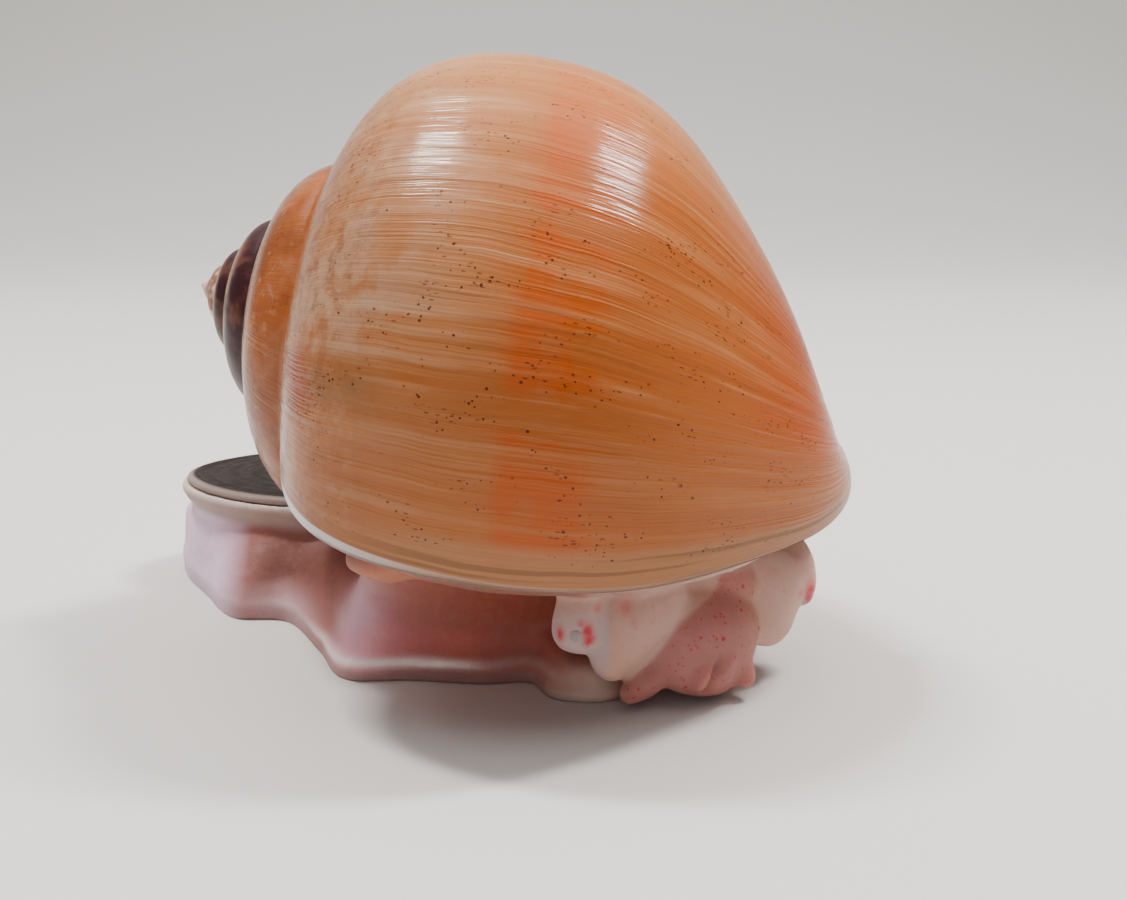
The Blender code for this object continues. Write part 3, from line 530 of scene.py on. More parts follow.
# %% The limbs of the head
LIMBS = {     # path, radii, and where they differ: how flat, and across which side
    "head": (((6.6, -11.0, 7.4), (11.4, -8.6, 7.2), (17.0, -5.4, 7.6)), (3.4, 4.4, 3.6), 1.0, (0, 0, 1)),
    "snout": (((11.6, -9.6, 8.2), (11.6, -12.2, 5.0), (10.9, -14.2, 0.7)), (3.8, 4.8, 4.6), 0.60),
    "lip_right": (((12.1, -14.6, 3.8), (11.7, -15.4, 2.8), (11.3, -15.2, 1.7)), (0.7, 0.8, 0.7)),
    "lip_left": (((13.5, -13.8, 3.8), (13.2, -14.5, 2.8), (12.8, -14.3, 1.7)), (0.7, 0.8, 0.7)),
    "tentacle_right": (((9.2, -12.2, 9.6), (7.0, -14.6, 6.4), (4.6, -16.2, 2.9)), (4.1, 2.9, 1.3), 0.70),
    "tentacle_left": (((18.0, -7.4, 9.6), (16.9, -8.8, 6.4), (16.4, -10.0, 2.8)), (3.8, 3.1, 2.2), 0.62),
    "eyestalk_right": (((5.6, -12.4, 9.6), (3.5, -15.0, 8.2), (2.8, -15.9, 4.6)), (1.6, 1.8, 2.1)),
    "eyestalk_left": (((18.0, -5.2, 9.6), (18.9, -6.5, 8.0), (19.1, -7.1, 4.9)), (1.7, 1.9, 2.1)),
    "palp_right": (((8.8, -14.0, 3.0), (7.4, -15.1, 1.9), (6.0, -15.6, 0.9)), (1.5, 1.15, 0.55)),
    "palp_left": (((14.0, -11.8, 3.2), (14.8, -12.8, 2.0), (15.3, -13.4, 1.0)), (1.3, 1.0, 0.5)),
    "lobe_right": (((-7.0, -14.0, 11.0), (-10.0, -14.8, 10.6), (-13.0, -14.0, 11.2)), (1.2, 1.3, 1.0)),
    "siphon": (((17.6, -0.6, 10.8), (19.0, -2.4, 9.4), (18.8, -4.0, 7.8)), (1.5, 1.6, 1.5)),
}
LIMB_RINGS = 36
LIMB_SIDES = 40


def limb_frame(centres, side):
    """Three directions along a path: along it, across it towards the given side, and square to both."""
    side = np.array(side, float)
    along = np.gradient(centres, axis=0)
    along /= np.linalg.norm(along, axis=1, keepdims=True)
    across = side - (along @ side)[:, None] * along
    across /= np.linalg.norm(across, axis=1, keepdims=True)
    return along, across, np.cross(along, across)


def limb(path, radii, flat=1.0, side=ACROSS):
    """A soft limb along a smooth path: oval rings whose radius runs through the given radii.

    Both ends are rounded off as half circles; flat squeezes the section across the given side.
    """
    place = 0.5 - 0.5 * np.cos(np.linspace(0, math.pi, LIMB_RINGS + 2))
    centres = curve_at(path, place)
    radius = curve_at(np.array(radii, float)[:, None], place)[:, 0]
    length = np.linalg.norm(np.diff(centres, axis=0), axis=1).sum()
    for end, width in ((place, radii[0]), (1 - place, radii[-1])):
        reach = min(width / length, 0.5)
        radius = radius * np.sqrt(np.clip(1 - (1 - np.minimum(end / reach, 1)) ** 2, 0, 1))
    _, across, deep = limb_frame(centres, side)
    angle = np.linspace(0, TURN, LIMB_SIDES, endpoint=False)[None, :, None]
    grid = centres[1:-1, None] + radius[1:-1, None, None] * (
        np.cos(angle) * across[1:-1, None] + flat * np.sin(angle) * deep[1:-1, None])
    return ring_body(grid, centres[0], centres[-1])


def limb_depth(points, path, radii, flat=1.0, side=ACROSS):
    """How far out a point lies in a limb: 1 on its oval surface, less inside, least over the path."""
    places = np.linspace(0, 1, 30)
    spots = curve_at(path, places)
    radius = curve_at(np.array(radii, float)[:, None], places)[:, 0]
    along, across, deep = limb_frame(spots, side)
    off = points[:, None] - spots[None]
    share = (np.sum(off * across, 2) ** 2 + np.sum(off * along, 2) ** 2
             + (np.sum(off * deep, 2) / flat) ** 2) / radius ** 2
    return np.sqrt(share.min(1))


bodies += [limb(*numbers) for numbers in LIMBS.values()]
print("bodies with the limbs", len(bodies))

# %% [markdown]
# ## One skin
# The overlapping bodies could be joined by Boolean cuts, which leave sharp creases. A Remesh step on a fine
# lattice is used instead: it lays one closed surface over all of them. Moving each corner towards its
# neighbours then turns every crease into a soft blend, as on living skin.

# %% One skin over all the bodies
LATTICE = 0.30                    # mm


def join_bodies(bodies):
    """Several bodies as one list of corners and triangles."""
    starts = np.concatenate([[0], np.cumsum([len(v) for v, _ in bodies])[:-1]])
    return (np.concatenate([v for v, _ in bodies]),
            np.concatenate([flip_outward(v, t) + s for (v, t), s in zip(bodies, starts)]))


def corners_of(mesh):
    """The corners of a mesh in millimetres."""
    flat = np.zeros(len(mesh.vertices) * 3, np.float32)
    mesh.vertices.foreach_get("co", flat)
    return flat.reshape(-1, 3).astype(float) / MM


def lattice_skin(verts, tris):
    """The joined bodies as one skin: a surface at zero distance on a lattice, read back as arrays."""
    rough = make("rough_skin", verts, tris)
    step = rough.modifiers.new("lattice", "REMESH")
    step.mode = "VOXEL"
    step.voxel_size = LATTICE * MM
    graph = bpy.context.evaluated_depsgraph_get()
    mesh = bpy.data.meshes.new_from_object(rough.evaluated_get(graph))
    bpy.data.objects.remove(rough)
    quads = np.zeros(len(mesh.loops), np.int32)
    mesh.loops.foreach_get("vertex_index", quads)
    total = np.zeros(len(mesh.polygons), np.int32)
    mesh.polygons.foreach_get("loop_total", total)
    quads = quads[np.repeat(total, total) == 4].reshape(-1, 4)
    return corners_of(mesh), np.concatenate([quads[:, [0, 1, 2]], quads[:, [0, 2, 3]]])


def edges_of(tris):
    """Each edge of the triangles once in each direction."""
    pairs = np.concatenate([tris[:, [0, 1]], tris[:, [1, 2]], tris[:, [2, 0]]])
    return np.unique(np.concatenate([pairs, pairs[:, ::-1]]), axis=0)


def largest_part(verts, tris):
    """The biggest connected surface: each corner takes its neighbours' least number till none changes."""
    pairs = edges_of(tris)
    label = np.arange(len(verts))
    while True:
        low = label.copy()
        np.minimum.at(low, pairs[:, 0], label[pairs[:, 1]])
        low = low[low]
        if np.array_equal(low, label):
            break
        label = low
    keep = label == np.bincount(label).argmax()
    number = np.cumsum(keep) - 1
    return verts[keep], number[tris[keep[tris[:, 0]]]]


def relax(verts, pairs, times, back, share=1.0):
    """Each corner moved half of the way to the mean of its neighbours, over and over.

    Every second pass pushes back by the given amount, so that the form keeps its size.
    """
    count = np.bincount(pairs[:, 0], minlength=len(verts))[:, None]
    for step in range(times):
        mean = np.stack([np.bincount(pairs[:, 0], verts[pairs[:, 1], k], len(verts)) for k in range(3)], 1)
        verts = verts + (0.5 if step % 2 == 0 else -back) * share * (mean / count - verts)
    return verts


def normals_of(verts, tris):
    """Corner normals: the mean of the normals of the triangles round a corner."""
    a, b, c = (verts[tris[:, k]] for k in range(3))
    face = np.cross(b - a, c - a)
    total = sum(np.stack([np.bincount(tris[:, k], face[:, m], len(verts)) for m in range(3)], 1)
                for k in range(3))
    return total / np.maximum(np.linalg.norm(total, axis=1, keepdims=True), 1e-12)


rough_skin = largest_part(*lattice_skin(*join_bodies(bodies)))
print("one surface", len(rough_skin[0]), "corners")

# %% [markdown]
# ## Shaping the skin
# On the animal the near wall of the foot and the step under the plate are smooth, and the rest of the skin
# is softly uneven. A brush could do this by hand. Passes over the arrays do it evenly: the skin is relaxed
# all over, and longer on those two walls. Small swellings and the slit of the mouth are then pushed into
# the mesh itself.

# %% Shaping the skin
MOUTH = ((12.9, -14.6, 4.0), (12.45, -15.5, 2.8), (12.0, -15.2, 1.4))
SLIT_DEPTH = 0.35
SLIT_WIDTH = 0.4
ALL_OVER = (16, 0.45)             # passes, and how much every second one pushes back
WALL_PASSES = 60
STEP_PASSES = 260
SWELLS = ((1.6, 11, 0.05), (0.75, 12, 0.022))      # size in mm, seed, and height in mm


def shape_flesh(verts, tris):
    """The relaxed skin as corners and triangles, with each corner's distance from the mouth's line."""
    tris = flip_outward(verts, tris)
    pairs = edges_of(tris)
    verts = relax(verts, pairs, *ALL_OVER)
    x, y, z = verts.T
    wall = (between(z, 2.4, 3.6) * between(z, 9, 7) * between(x, 2, 0) * between(x, -21, -17)
            * between(y, -3, -5))
    verts = relax(verts, pairs, WALL_PASSES, 0.0, wall[:, None])
    x, y, z = verts.T
    under = between(z, 3.4, 4.9) * between(z, 7.5, 6.7) * between(x, -12, -15) * between(y, 16, 13)
    verts = relax(verts, pairs, STEP_PASSES, 0.0, under[:, None])
    normal = normals_of(verts, tris)
    swell = sum(noise(verts / size, seed) * height for size, seed, height in SWELLS)
    verts = verts + normal * (swell * between(verts[:, 2], 0, 1))[:, None]
    line = curve_at(MOUTH, np.linspace(0, 1, 24))
    mouth = np.linalg.norm(verts[:, None] - line[None], axis=2).min(1)
    verts = verts - normal * (SLIT_DEPTH * np.exp(-(mouth / SLIT_WIDTH) ** 2))[:, None]
    verts[:, 2] = np.maximum(verts[:, 2], 0.0)
    return verts, tris, mouth


skin, skin_tris, mouth_distance = shape_flesh(*rough_skin)
print("skin", len(skin), "corners", len(skin_tris), "triangles")

# %% [markdown]
# ## Tint of the skin
# The real skin goes from lilac at the tail to a pale, crimson-dotted head; the dark brown-red on the walls
# under the shell and under the plate is painted shade.
# These zones belong to places on the body, so each corner of the mesh gets its tint from where it lies: soft
# spots and slopes are laid over each other, and the colours are stored on the mesh. A pattern in the
# material would have to know the same places, with far more nodes.

# %% The tint of each corner
CRIMSON_TINT = (0.56, 0.03, 0.05)
CRIMSON = (((1.75, -17.4, 6.4), (0.26, 0.9, 0.50), 1.3), ((3.65, -17.4, 6.7), (0.34, 0.9, 0.42), 1.5),
           ((3.75, -17.4, 6.0), (0.36, 0.9, 0.36), 1.5), ((3.2, -17.4, 7.25), (0.22, 0.9, 0.18), 0.9),
           ((20.35, -8.2, 6.1), (0.46, 1.2, 0.95), 1.5), ((19.4, -9.0, 6.6), (0.22, 1.0, 0.30), 0.7),
           ((6.3, -16.4, 8.0), (0.40, 0.9, 0.65), 0.45), ((6.8, -16.6, 7.0), (0.24, 0.9, 0.36), 0.35),
           ((4.3, -16.6, 8.1), (0.22, 0.9, 0.30), 0.5))      # place, size and strength
BULB_TINT = (0.53, 0.39, 0.385)
PALE_LIMBS = {"tentacle_right": 1.10, "tentacle_left": 1.10, "eyestalk_right": 1.22, "eyestalk_left": 1.22}
LOBE_PLACE = (-10.0, -15.3, 10.2)


def blob(points, centre, size):
    """A soft spot: 1 at the centre, falling with the square of the distance over the sizes."""
    return np.exp(-np.sum(((points - np.array(centre)) / np.array(size)) ** 2, axis=1))


def blend(base, colour, amount):
    """The base colours moved towards one colour by each corner's amount."""
    return base + (np.array(colour) - base) * np.clip(amount, 0, 1)[:, None]


def tint_flesh(verts, mouth):
    """The colour of each corner, and how thickly the crimson dots of the material lie there."""
    x, y, z = verts.T
    outline = closed_outline(SOLE, SOLE_SAMPLES)
    gap = np.empty(len(verts))
    for part in np.array_split(np.arange(len(verts)), 40):
        gap[part] = np.linalg.norm(verts[part, None, :2] - outline[None], axis=2).min(1)
    tail = np.clip((-24.5 - x + np.clip((y - 8) / 4, 0, 2)) / np.clip(3.0 + (y - 8) * 0.7, 3, 14), 0, 1)
    edge = between(gap, 1.6, 0) * (x < 3.0) * np.clip((x + 20) / 5, 0.2, 1)
    rim = np.clip((-1.0 - x) / 6, 0.45, 1) * np.exp(-((z - RIM_HEIGHT) / 0.34) ** 2)
    pad = between(z, 6.6, 7.3) * (x < -4) * (y > 5.5) * (z < 9)
    pale = np.zeros(len(verts))
    for name, reach in PALE_LIMBS.items():
        pale = np.maximum(pale, between(limb_depth(verts, *LIMBS[name]), reach, reach - 0.10))
    stalk = between(limb_depth(verts, *LIMBS["eyestalk_right"]), 1.30, 1.15)
    ahead = x * AHEAD[0] + y * AHEAD[1]
    front = between(ahead, 12, 15)
    mauve = front * (1 - pale) * between(z, 11, 9) * between(x, 5, 6.5)
    # A band just under the lip, which carries a painted shadow of the lip.
    lining_and_lip_shadow = between(z, 8.7, 9.4) * (1 - pad) * (1 - blob(verts, LOBE_PLACE, (3.2, 2.6, 1.6)))
    layers = [
        ((0.36, 0.13, 0.11), between(x, -14, -18)),
        # Painted shade: the tail's near wall under the plate goes dark brown.
        ((0.135, 0.038, 0.022), 0.95 * blob(verts, (-21.5, 4.0, 4.8), (4.5, 5.4, 3.1))),
        ((0.56, 0.35, 0.38), 0.8 * blob(verts, (-20.5, 2.0, 1.2), (6.0, 5.0, 1.6))),
        ((0.72, 0.52, 0.68), 0.95 * tail),
        ((0.95, 0.44, 0.55), blob(verts, (-13.2, -9.0, 2.2), (3.8, 3.4, 2.6))),
        ((0.85, 0.56, 0.66), 0.9 * blob(verts, (-13.6, -7.4, 4.6), (2.2, 3.4, 2.6))),
        # Painted shade: the near wall under the lip goes dark red-brown.
        ((0.36, 0.075, 0.040), 0.85 * blob(verts, (-1.5, -9.0, 5.0), (8.0, 4.0, 3.0))),
        ((0.62, 0.17, 0.14), 0.75 * blob(verts, (-6.5, -10.0, 2.8), (5.5, 3.0, 1.0))),
        ((0.38, 0.22, 0.21), 0.9 * edge * between(z, RIM_HEIGHT - 0.35, RIM_HEIGHT - 0.85)),
        ((0.95, 0.80, 0.78), 1.25 * edge * rim),
        ((0.74, 0.54, 0.46), 0.9 * blob(verts, (4.2, -13.6, 1.0), (3.4, 2.4, 2.4))),
        ((0.34, 0.235, 0.20), 0.9 * pad),
        ((0.56, 0.47, 0.44), 0.8 * pad * between(z, 8.2, 8.6)),
        ((0.44, 0.17, 0.15), 0.9 * mauve),
        ((0.60, 0.37, 0.30), 0.95 * pale * between(ahead, 9, 11)),
        ((0.62, 0.36, 0.24), 0.5 * blob(verts, (5.4, -16.4, 3.8), (1.6, 2.0, 1.6))),
        ((0.60, 0.31, 0.19), 0.6 * blob(verts, (15.2, -10.4, 5.0), (1.3, 2.4, 2.6))),
        (BULB_TINT, 0.9 * stalk * between(z, 8.5, 7.0)),
        ((0.56, 0.22, 0.11), 0.8 * blob(verts, LOBE_PLACE, (2.6, 2.2, 0.9))),
        ((0.62, 0.30, 0.10), 0.7 * blob(verts, (12.1, -15.9, 1.9), (0.35, 1.0, 0.45))),
        # Painted shade in the slit of the mouth.
        ((0.20, 0.05, 0.05), 0.75 * np.exp(-(mouth / 0.33) ** 2)),
    ]
    layers += [(CRIMSON_TINT, strength * blob(verts, spot, size)) for spot, size, strength in CRIMSON]
    # Painted shadow of the lip on the band towards the tail; tan skin towards the head.
    layers += [((0.24, 0.11, 0.08), 0.9 * lining_and_lip_shadow * between(x, 4.5, 3.0)),
               ((0.54, 0.35, 0.29), 0.9 * lining_and_lip_shadow * between(x, 3.0, 4.5))]
    colour = np.tile([0.40, 0.14, 0.11], (len(verts), 1))
    for tint, amount in layers:
        colour = blend(colour, tint, amount)
    return colour, np.clip((mauve + 0.15 * pale * front) * (1 - lining_and_lip_shadow), 0, 1)


skin_tint, skin_dots = tint_flesh(skin, mouth_distance)
flesh = make("soft_body", skin, skin_tris, None, {"tint": skin_tint, "dots": skin_dots})

# %% [markdown]
# ## Horn plate
# The operculum is a thin plate of horn that grows in rings round a point near its inner edge. It could be a
# cut disc with a picture of rings on it. Here the rings are in the mesh: each step of the disc is a little
# higher or lower, and the oval drifts towards the growth point as it shrinks.

# %% The horn plate
PLATE_THICK = 0.9
PLATE_FLOOR = 0.08                # height of the underside
PLATE_STEPS = 60
PLATE_DRIFT = 2.4                 # of the growth point from the oval's middle
PLATE_DISH = 0.30
PLATE_RIDGES = ((0.03, 68, 0.0), (0.012, 151, 1.0))      # height in mm, waves, and where they start


def build_plate():
    """Rings from the growth point out to the edge and back underneath; two sines make the ridges."""
    angle = np.linspace(0, TURN, 200, endpoint=False)
    reach = np.concatenate([np.linspace(0.03, 0.97, PLATE_STEPS), [0.99, 1.0, 0.99, 0.97],
                            np.linspace(0.9, 0.1, 10)])
    thick = np.concatenate([np.full(PLATE_STEPS, PLATE_THICK), [0.78, 0.5, 0.22], np.full(11, PLATE_FLOOR)])
    rings = []
    for number, (step, height) in enumerate(zip(reach, thick)):
        ridge = sum(high * math.sin(step * waves + start) for high, waves, start in PLATE_RIDGES)
        if number < PLATE_STEPS:
            height = height + ridge * min(1, step * 4)
        rings.append(plate_ring(angle, step, PLATE_BOTTOM + PLATE_DISH * step ** 2 + height,
                                drift=PLATE_DRIFT * (1 - step)))
    verts, tris = ring_body(np.stack(rings))
    spread = np.concatenate([np.repeat(reach, len(angle)), [0.0, 0.0]])
    return make("horn_plate", verts, flip_outward(verts, tris), None, {"spread": spread})


plate = build_plate()

# %% [markdown]
# ## Eyes
# Each eye sits at the end of a short stalk, almost flush with the skin: a small grey dot between crimson
# patches. A whole ball would stand out like a button, so each eye is a shallow cap of a ball that follows
# the skin in front of the stalk's middle and dips into it at the rim.

# %% The eyes
EYES = {"eye_right": ((2.9, -15.9, 6.3), (-0.06, -0.99, 0.06)),
        "eye_left": ((19.0, -7.0, 6.2), (0.75, -0.65, -0.05))}      # stalk's middle, and where it looks
EYE_SPREAD = math.radians(42.0)
EYE_PROUD = 0.08                  # mm out of the skin in the middle
EYE_DIP = 0.4                     # mm lower at the rim
EYE_DEEP = 0.95                   # mm under the skin at the back
EYE_FRONT = 22                    # rings
EYE_BACK = 8
EYE_GREY = (0.33, 0.24, 0.25)
SKIN = corners_of(flesh.data)


def build_eye(name, middle, look):
    """A cap of a ball about the stalk's middle: it stands a little out of the skin and dips in at its rim.

    Its radius is the distance of the skin along the look and a little more, less the dip times the square
    of the angle's share of the spread; a smaller cap closes it at the back.
    """
    middle = np.array(middle)
    look = np.array(look, float) / np.linalg.norm(look)
    side = np.cross(look, (0, 0, 1.0))
    side /= np.linalg.norm(side)
    up = np.cross(side, look)
    off = SKIN - middle
    along = off @ look
    near = (np.linalg.norm(off - along[:, None] * look, axis=1) < 0.5) & (along > 0)
    front = along[near].max()
    share = np.concatenate([np.linspace(0.04, 1.0, EYE_FRONT), np.linspace(0.9, 0.1, EYE_BACK)])[:, None]
    radius = np.concatenate([front + EYE_PROUD - EYE_DIP * share[:EYE_FRONT] ** 2,
                             np.full((EYE_BACK, 1), front - EYE_DEEP)])
    angle = np.linspace(0, TURN, 60, endpoint=False)[None]
    tilt = EYE_SPREAD * share
    grid = middle + radius[..., None] * (np.cos(tilt)[..., None] * look
                                         + (np.sin(tilt) * np.cos(angle))[..., None] * side
                                         + (np.sin(tilt) * np.sin(angle))[..., None] * up)
    verts, tris = ring_body(grid, middle + (front + EYE_PROUD) * look, middle + (front - EYE_DEEP) * look)
    tint = np.tile(BULB_TINT, (len(verts), 1))
    tint = blend(tint, EYE_GREY, 0.85 * blob(verts, middle + front * look, (0.42, 0.8, 0.55)))
    for spot, reach, strength in CRIMSON:
        tint = blend(tint, CRIMSON_TINT, strength * blob(verts, spot, reach))
    print(name, "skin at", round(float(front), 2), "mm from the stalk's middle")
    return make(name, verts, flip_outward(verts, tris), None, {"tint": tint})


eyes = {name: build_eye(name + "_lens", *numbers) for name, numbers in EYES.items()}

# %% [markdown]
# ## Building a finish
# A finish is a graph of nodes: a mask says where, a colour says what, and a mix lays it over the layers
# below. Written node by node this is long, so short helpers add the nodes. Every finish is a node group
# that puts out a colour, a roughness and a height for the relief.


# %% A graph of nodes and a finish group
class Graph:
    """Short ways to add nodes to one tree; each call returns the socket that carries its result."""

    def __init__(self, tree):
        self.tree = tree
        self.solid = self.node("ShaderNodeTexCoord").outputs["Object"]

    def node(self, kind, **settings):
        """A node of the given kind with its settings."""
        node = self.tree.nodes.new(kind)
        for key, value in settings.items():
            setattr(node, key, value)
        return node

    def feed(self, socket, value):
        """A socket linked to another one, or set to a value."""
        if isinstance(value, bpy.types.NodeSocket):
            self.tree.links.new(value, socket)
        else:
            socket.default_value = value

    def math(self, operation, a, b, clamp=False):
        """One operation on two values; clamp holds it in 0 to 1."""
        node = self.node("ShaderNodeMath", operation=operation, use_clamp=clamp)
        self.feed(node.inputs[0], a)
        self.feed(node.inputs[1], b)
        return node.outputs[0]

    def times(self, first, *others):
        """The product of all the values."""
        for value in others:
            first = self.math("MULTIPLY", first, value)
        return first

    def plus(self, first, *others):
        """The sum of all the values."""
        for value in others:
            first = self.math("ADD", first, value)
        return first

    def place(self, x, y, z=0.0):
        """Three values as one vector."""
        node = self.node("ShaderNodeCombineXYZ")
        for socket, value in zip(node.inputs, (x, y, z)):
            self.feed(socket, value)
        return node.outputs[0]

    def value_of(self, attribute, output="Fac"):
        """What the mesh carries at this point under a name."""
        return self.node("ShaderNodeAttribute", attribute_name=attribute).outputs[output]

    def noise(self, scale, detail, rough=0.55, vector=None):
        """Cloudy noise round 0.5, at the point's own place or at another one."""
        node = self.node("ShaderNodeTexNoise")
        self.feed(node.inputs["Vector"], self.solid if vector is None else vector)
        for label, number in (("Scale", scale), ("Detail", detail), ("Roughness", rough)):
            node.inputs[label].default_value = number
        return node.outputs[0]

    def cells(self, scale, vector=None):
        """The distance to the nearest of many scattered points."""
        node = self.node("ShaderNodeTexVoronoi")
        self.feed(node.inputs["Vector"], self.solid if vector is None else vector)
        node.inputs["Scale"].default_value = scale
        return node.outputs["Distance"]

    def fit(self, value, low, high, to_low=0.0, to_high=1.0):
        """The value carried smoothly from one range to another and held at the ends."""
        node = self.node("ShaderNodeMapRange", interpolation_type="SMOOTHSTEP")
        for label, number in (("Value", value), ("From Min", low), ("From Max", high), ("To Min", to_low),
                              ("To Max", to_high)):
            self.feed(node.inputs[label], number)
        return node.outputs[0]

    def mix(self, amount, a, b):
        """The first colour moved towards the second by the amount."""
        node = self.node("ShaderNodeMix", data_type="RGBA")
        self.feed(node.inputs[0], amount)
        for socket, value in ((node.inputs[6], a), (node.inputs[7], b)):
            self.feed(socket, (*value, 1.0) if isinstance(value, tuple) else value)
        return node.outputs[2]

    def paint(self, colour, over, *masks):
        """A layer: the second colour laid over the first where the product of the masks is high."""
        return self.mix(self.times(*masks), colour, over)

    def ramp(self, value, stops):
        """A colour that runs through the stops as the value rises."""
        node = self.node("ShaderNodeValToRGB")
        self.feed(node.inputs[0], value)
        while len(node.color_ramp.elements) < len(stops):
            node.color_ramp.elements.new(0.5)
        for element, (place, colour) in zip(node.color_ramp.elements, stops):
            element.position = place
            element.color = (*colour, 1.0)
        return node.outputs[0]


def finish_group(name, fill, kind=Graph):
    """A node group whose three outputs are what the given function works out."""
    tree = bpy.data.node_groups.new(name, "ShaderNodeTree")
    for label, socket in (("Colour", "Color"), ("Roughness", "Float"), ("Height", "Float")):
        tree.interface.new_socket(label, in_out="OUTPUT", socket_type="NodeSocket" + socket)
    g = kind(tree)
    values = fill(g)
    for socket, value in zip(tree.nodes.new("NodeGroupOutput").inputs, values):
        g.feed(socket, value)
    print(name, len(tree.nodes), "nodes")
    return tree


# %% [markdown]
# ## Shell finish: ground and growth lines
# A snail lays its shell down at the lip, so pale and dark lines follow earlier lips, and coloured bands run
# round with the coil. A pattern on plain Object coordinates would cut across both. The shell's map gives the
# two directions: turns back from the lip, and the angle round the section.

# %% Ground and growth lines
AROUND = 180 / math.pi / 200      # the section's angle as a share: 0.12 at the suture, 0.97 at the base
SHELL_BASE = ((0.12, (0.34, 0.165, 0.090)), (0.30, (0.36, 0.150, 0.066)), (0.40, (0.36, 0.125, 0.036)),
              (0.46, (0.34, 0.095, 0.020)), (0.66, (0.38, 0.100, 0.022)), (0.82, (0.41, 0.100, 0.022)),
              (0.97, (0.42, 0.16, 0.08)))


class ShellGraph(Graph):
    """The graph of the shell, with the two directions of its growth map and the noises that layers share."""

    def __init__(self, tree):
        super().__init__(tree)
        spot = self.node("ShaderNodeSeparateXYZ")
        self.feed(spot.inputs[0], self.node("ShaderNodeUVMap", uv_map="growth").outputs[0])
        self.turn, self.psi = spot.outputs[0], spot.outputs[1]
        self.around = self.times(self.psi, AROUND)
        self.grown = self.plus(self.turn, self.times(self.noise(60.0, 3.0), 0.010))
        self.wide = self.lines(46.0, 0.55, 8.3, 1.0)
        self.mid = self.lines(112.0, 0.5, 4.0, 2.0)
        self.fine = self.lines(270.0, 1.3, 0.0, 3.0)
        self.cloud = self.noise(130.0, 5.0, 0.65)
        self.last = self.fit(self.turn, -1.0, -0.9)

    def on_map(self, turns, angles, seed=0.0):
        """The point's place on the growth map, stretched two ways."""
        return self.place(self.times(self.turn, turns), self.times(self.psi, angles), seed)

    def lines(self, across, along, seed, detail):
        """Noise stretched along the lip: many waves a turn, few a radian."""
        spot = self.place(self.times(self.grown, across), self.times(self.psi, along), seed)
        return self.noise(1.0, detail, vector=spot)

    def patch_at(self, turn, turn_size, around, around_size):
        """A soft patch on the map: 1 at its centre, 0 where the scaled distance reaches 1."""
        off = self.node("ShaderNodeVectorMath", operation="LENGTH")
        self.feed(off.inputs[0], self.place(
            self.times(self.math("SUBTRACT", self.grown, turn), 1 / turn_size),
            self.times(self.math("SUBTRACT", self.around, around), 1 / around_size)))
        return self.fit(off.outputs["Value"], 1.0, 0.0)


def shell_ground(g):
    """The base colour from suture to base, orange patches in two bands, then pale and dark growth lines."""
    colour = g.ramp(g.plus(g.around, g.fit(g.turn, -0.9, -1.0, 0.0, 0.20)), SHELL_BASE)
    strip = g.times(g.fit(g.around, 0.440, 0.465), g.fit(g.around, 0.565, 0.515))
    weak = g.times(g.fit(g.around, 0.70, 0.52), g.fit(g.around, 0.43, 0.45, 0.0, 0.30))
    bands = g.noise(1.0, 2.0, vector=g.on_map(5.0, 7.0, 2.0))
    patch = g.fit(g.plus(bands, g.times(g.math("SUBTRACT", g.wide, 0.5), 1.3)), 0.36, 0.52)
    patch = g.times(g.math("MAXIMUM", strip, weak), patch, g.last)
    colour = g.paint(colour, (0.42, 0.066, 0.004), patch, 0.55)
    pale = g.mix(g.fit(g.around, 0.30, 0.50), (0.46, 0.27, 0.165), (0.50, 0.20, 0.080))
    calm = g.times(g.plus(g.times(g.last, 0.8), 0.2), g.fit(g.cloud, 0.30, 0.55, 0.5, 1.0),
                   g.fit(g.around, 0.18, 0.34, 0.40, 1.0))
    for over, mask in ((pale, g.fit(g.wide, 0.52, 0.68, 0.0, 0.42)),
                       (pale, g.fit(g.mid, 0.53, 0.66, 0.0, 0.58)),
                       ((0.30, 0.070, 0.012), g.fit(g.mid, 0.45, 0.30, 0.0, 0.50)),
                       ((0.24, 0.07, 0.02), g.fit(g.fine, 0.48, 0.28, 0.0, 0.38)),
                       ((0.54, 0.25, 0.12), g.fit(g.fine, 0.56, 0.70, 0.0, 0.40))):
        colour = g.paint(colour, over, mask, calm)
    return colour, strip, patch


print("colours from suture to base", len(SHELL_BASE))
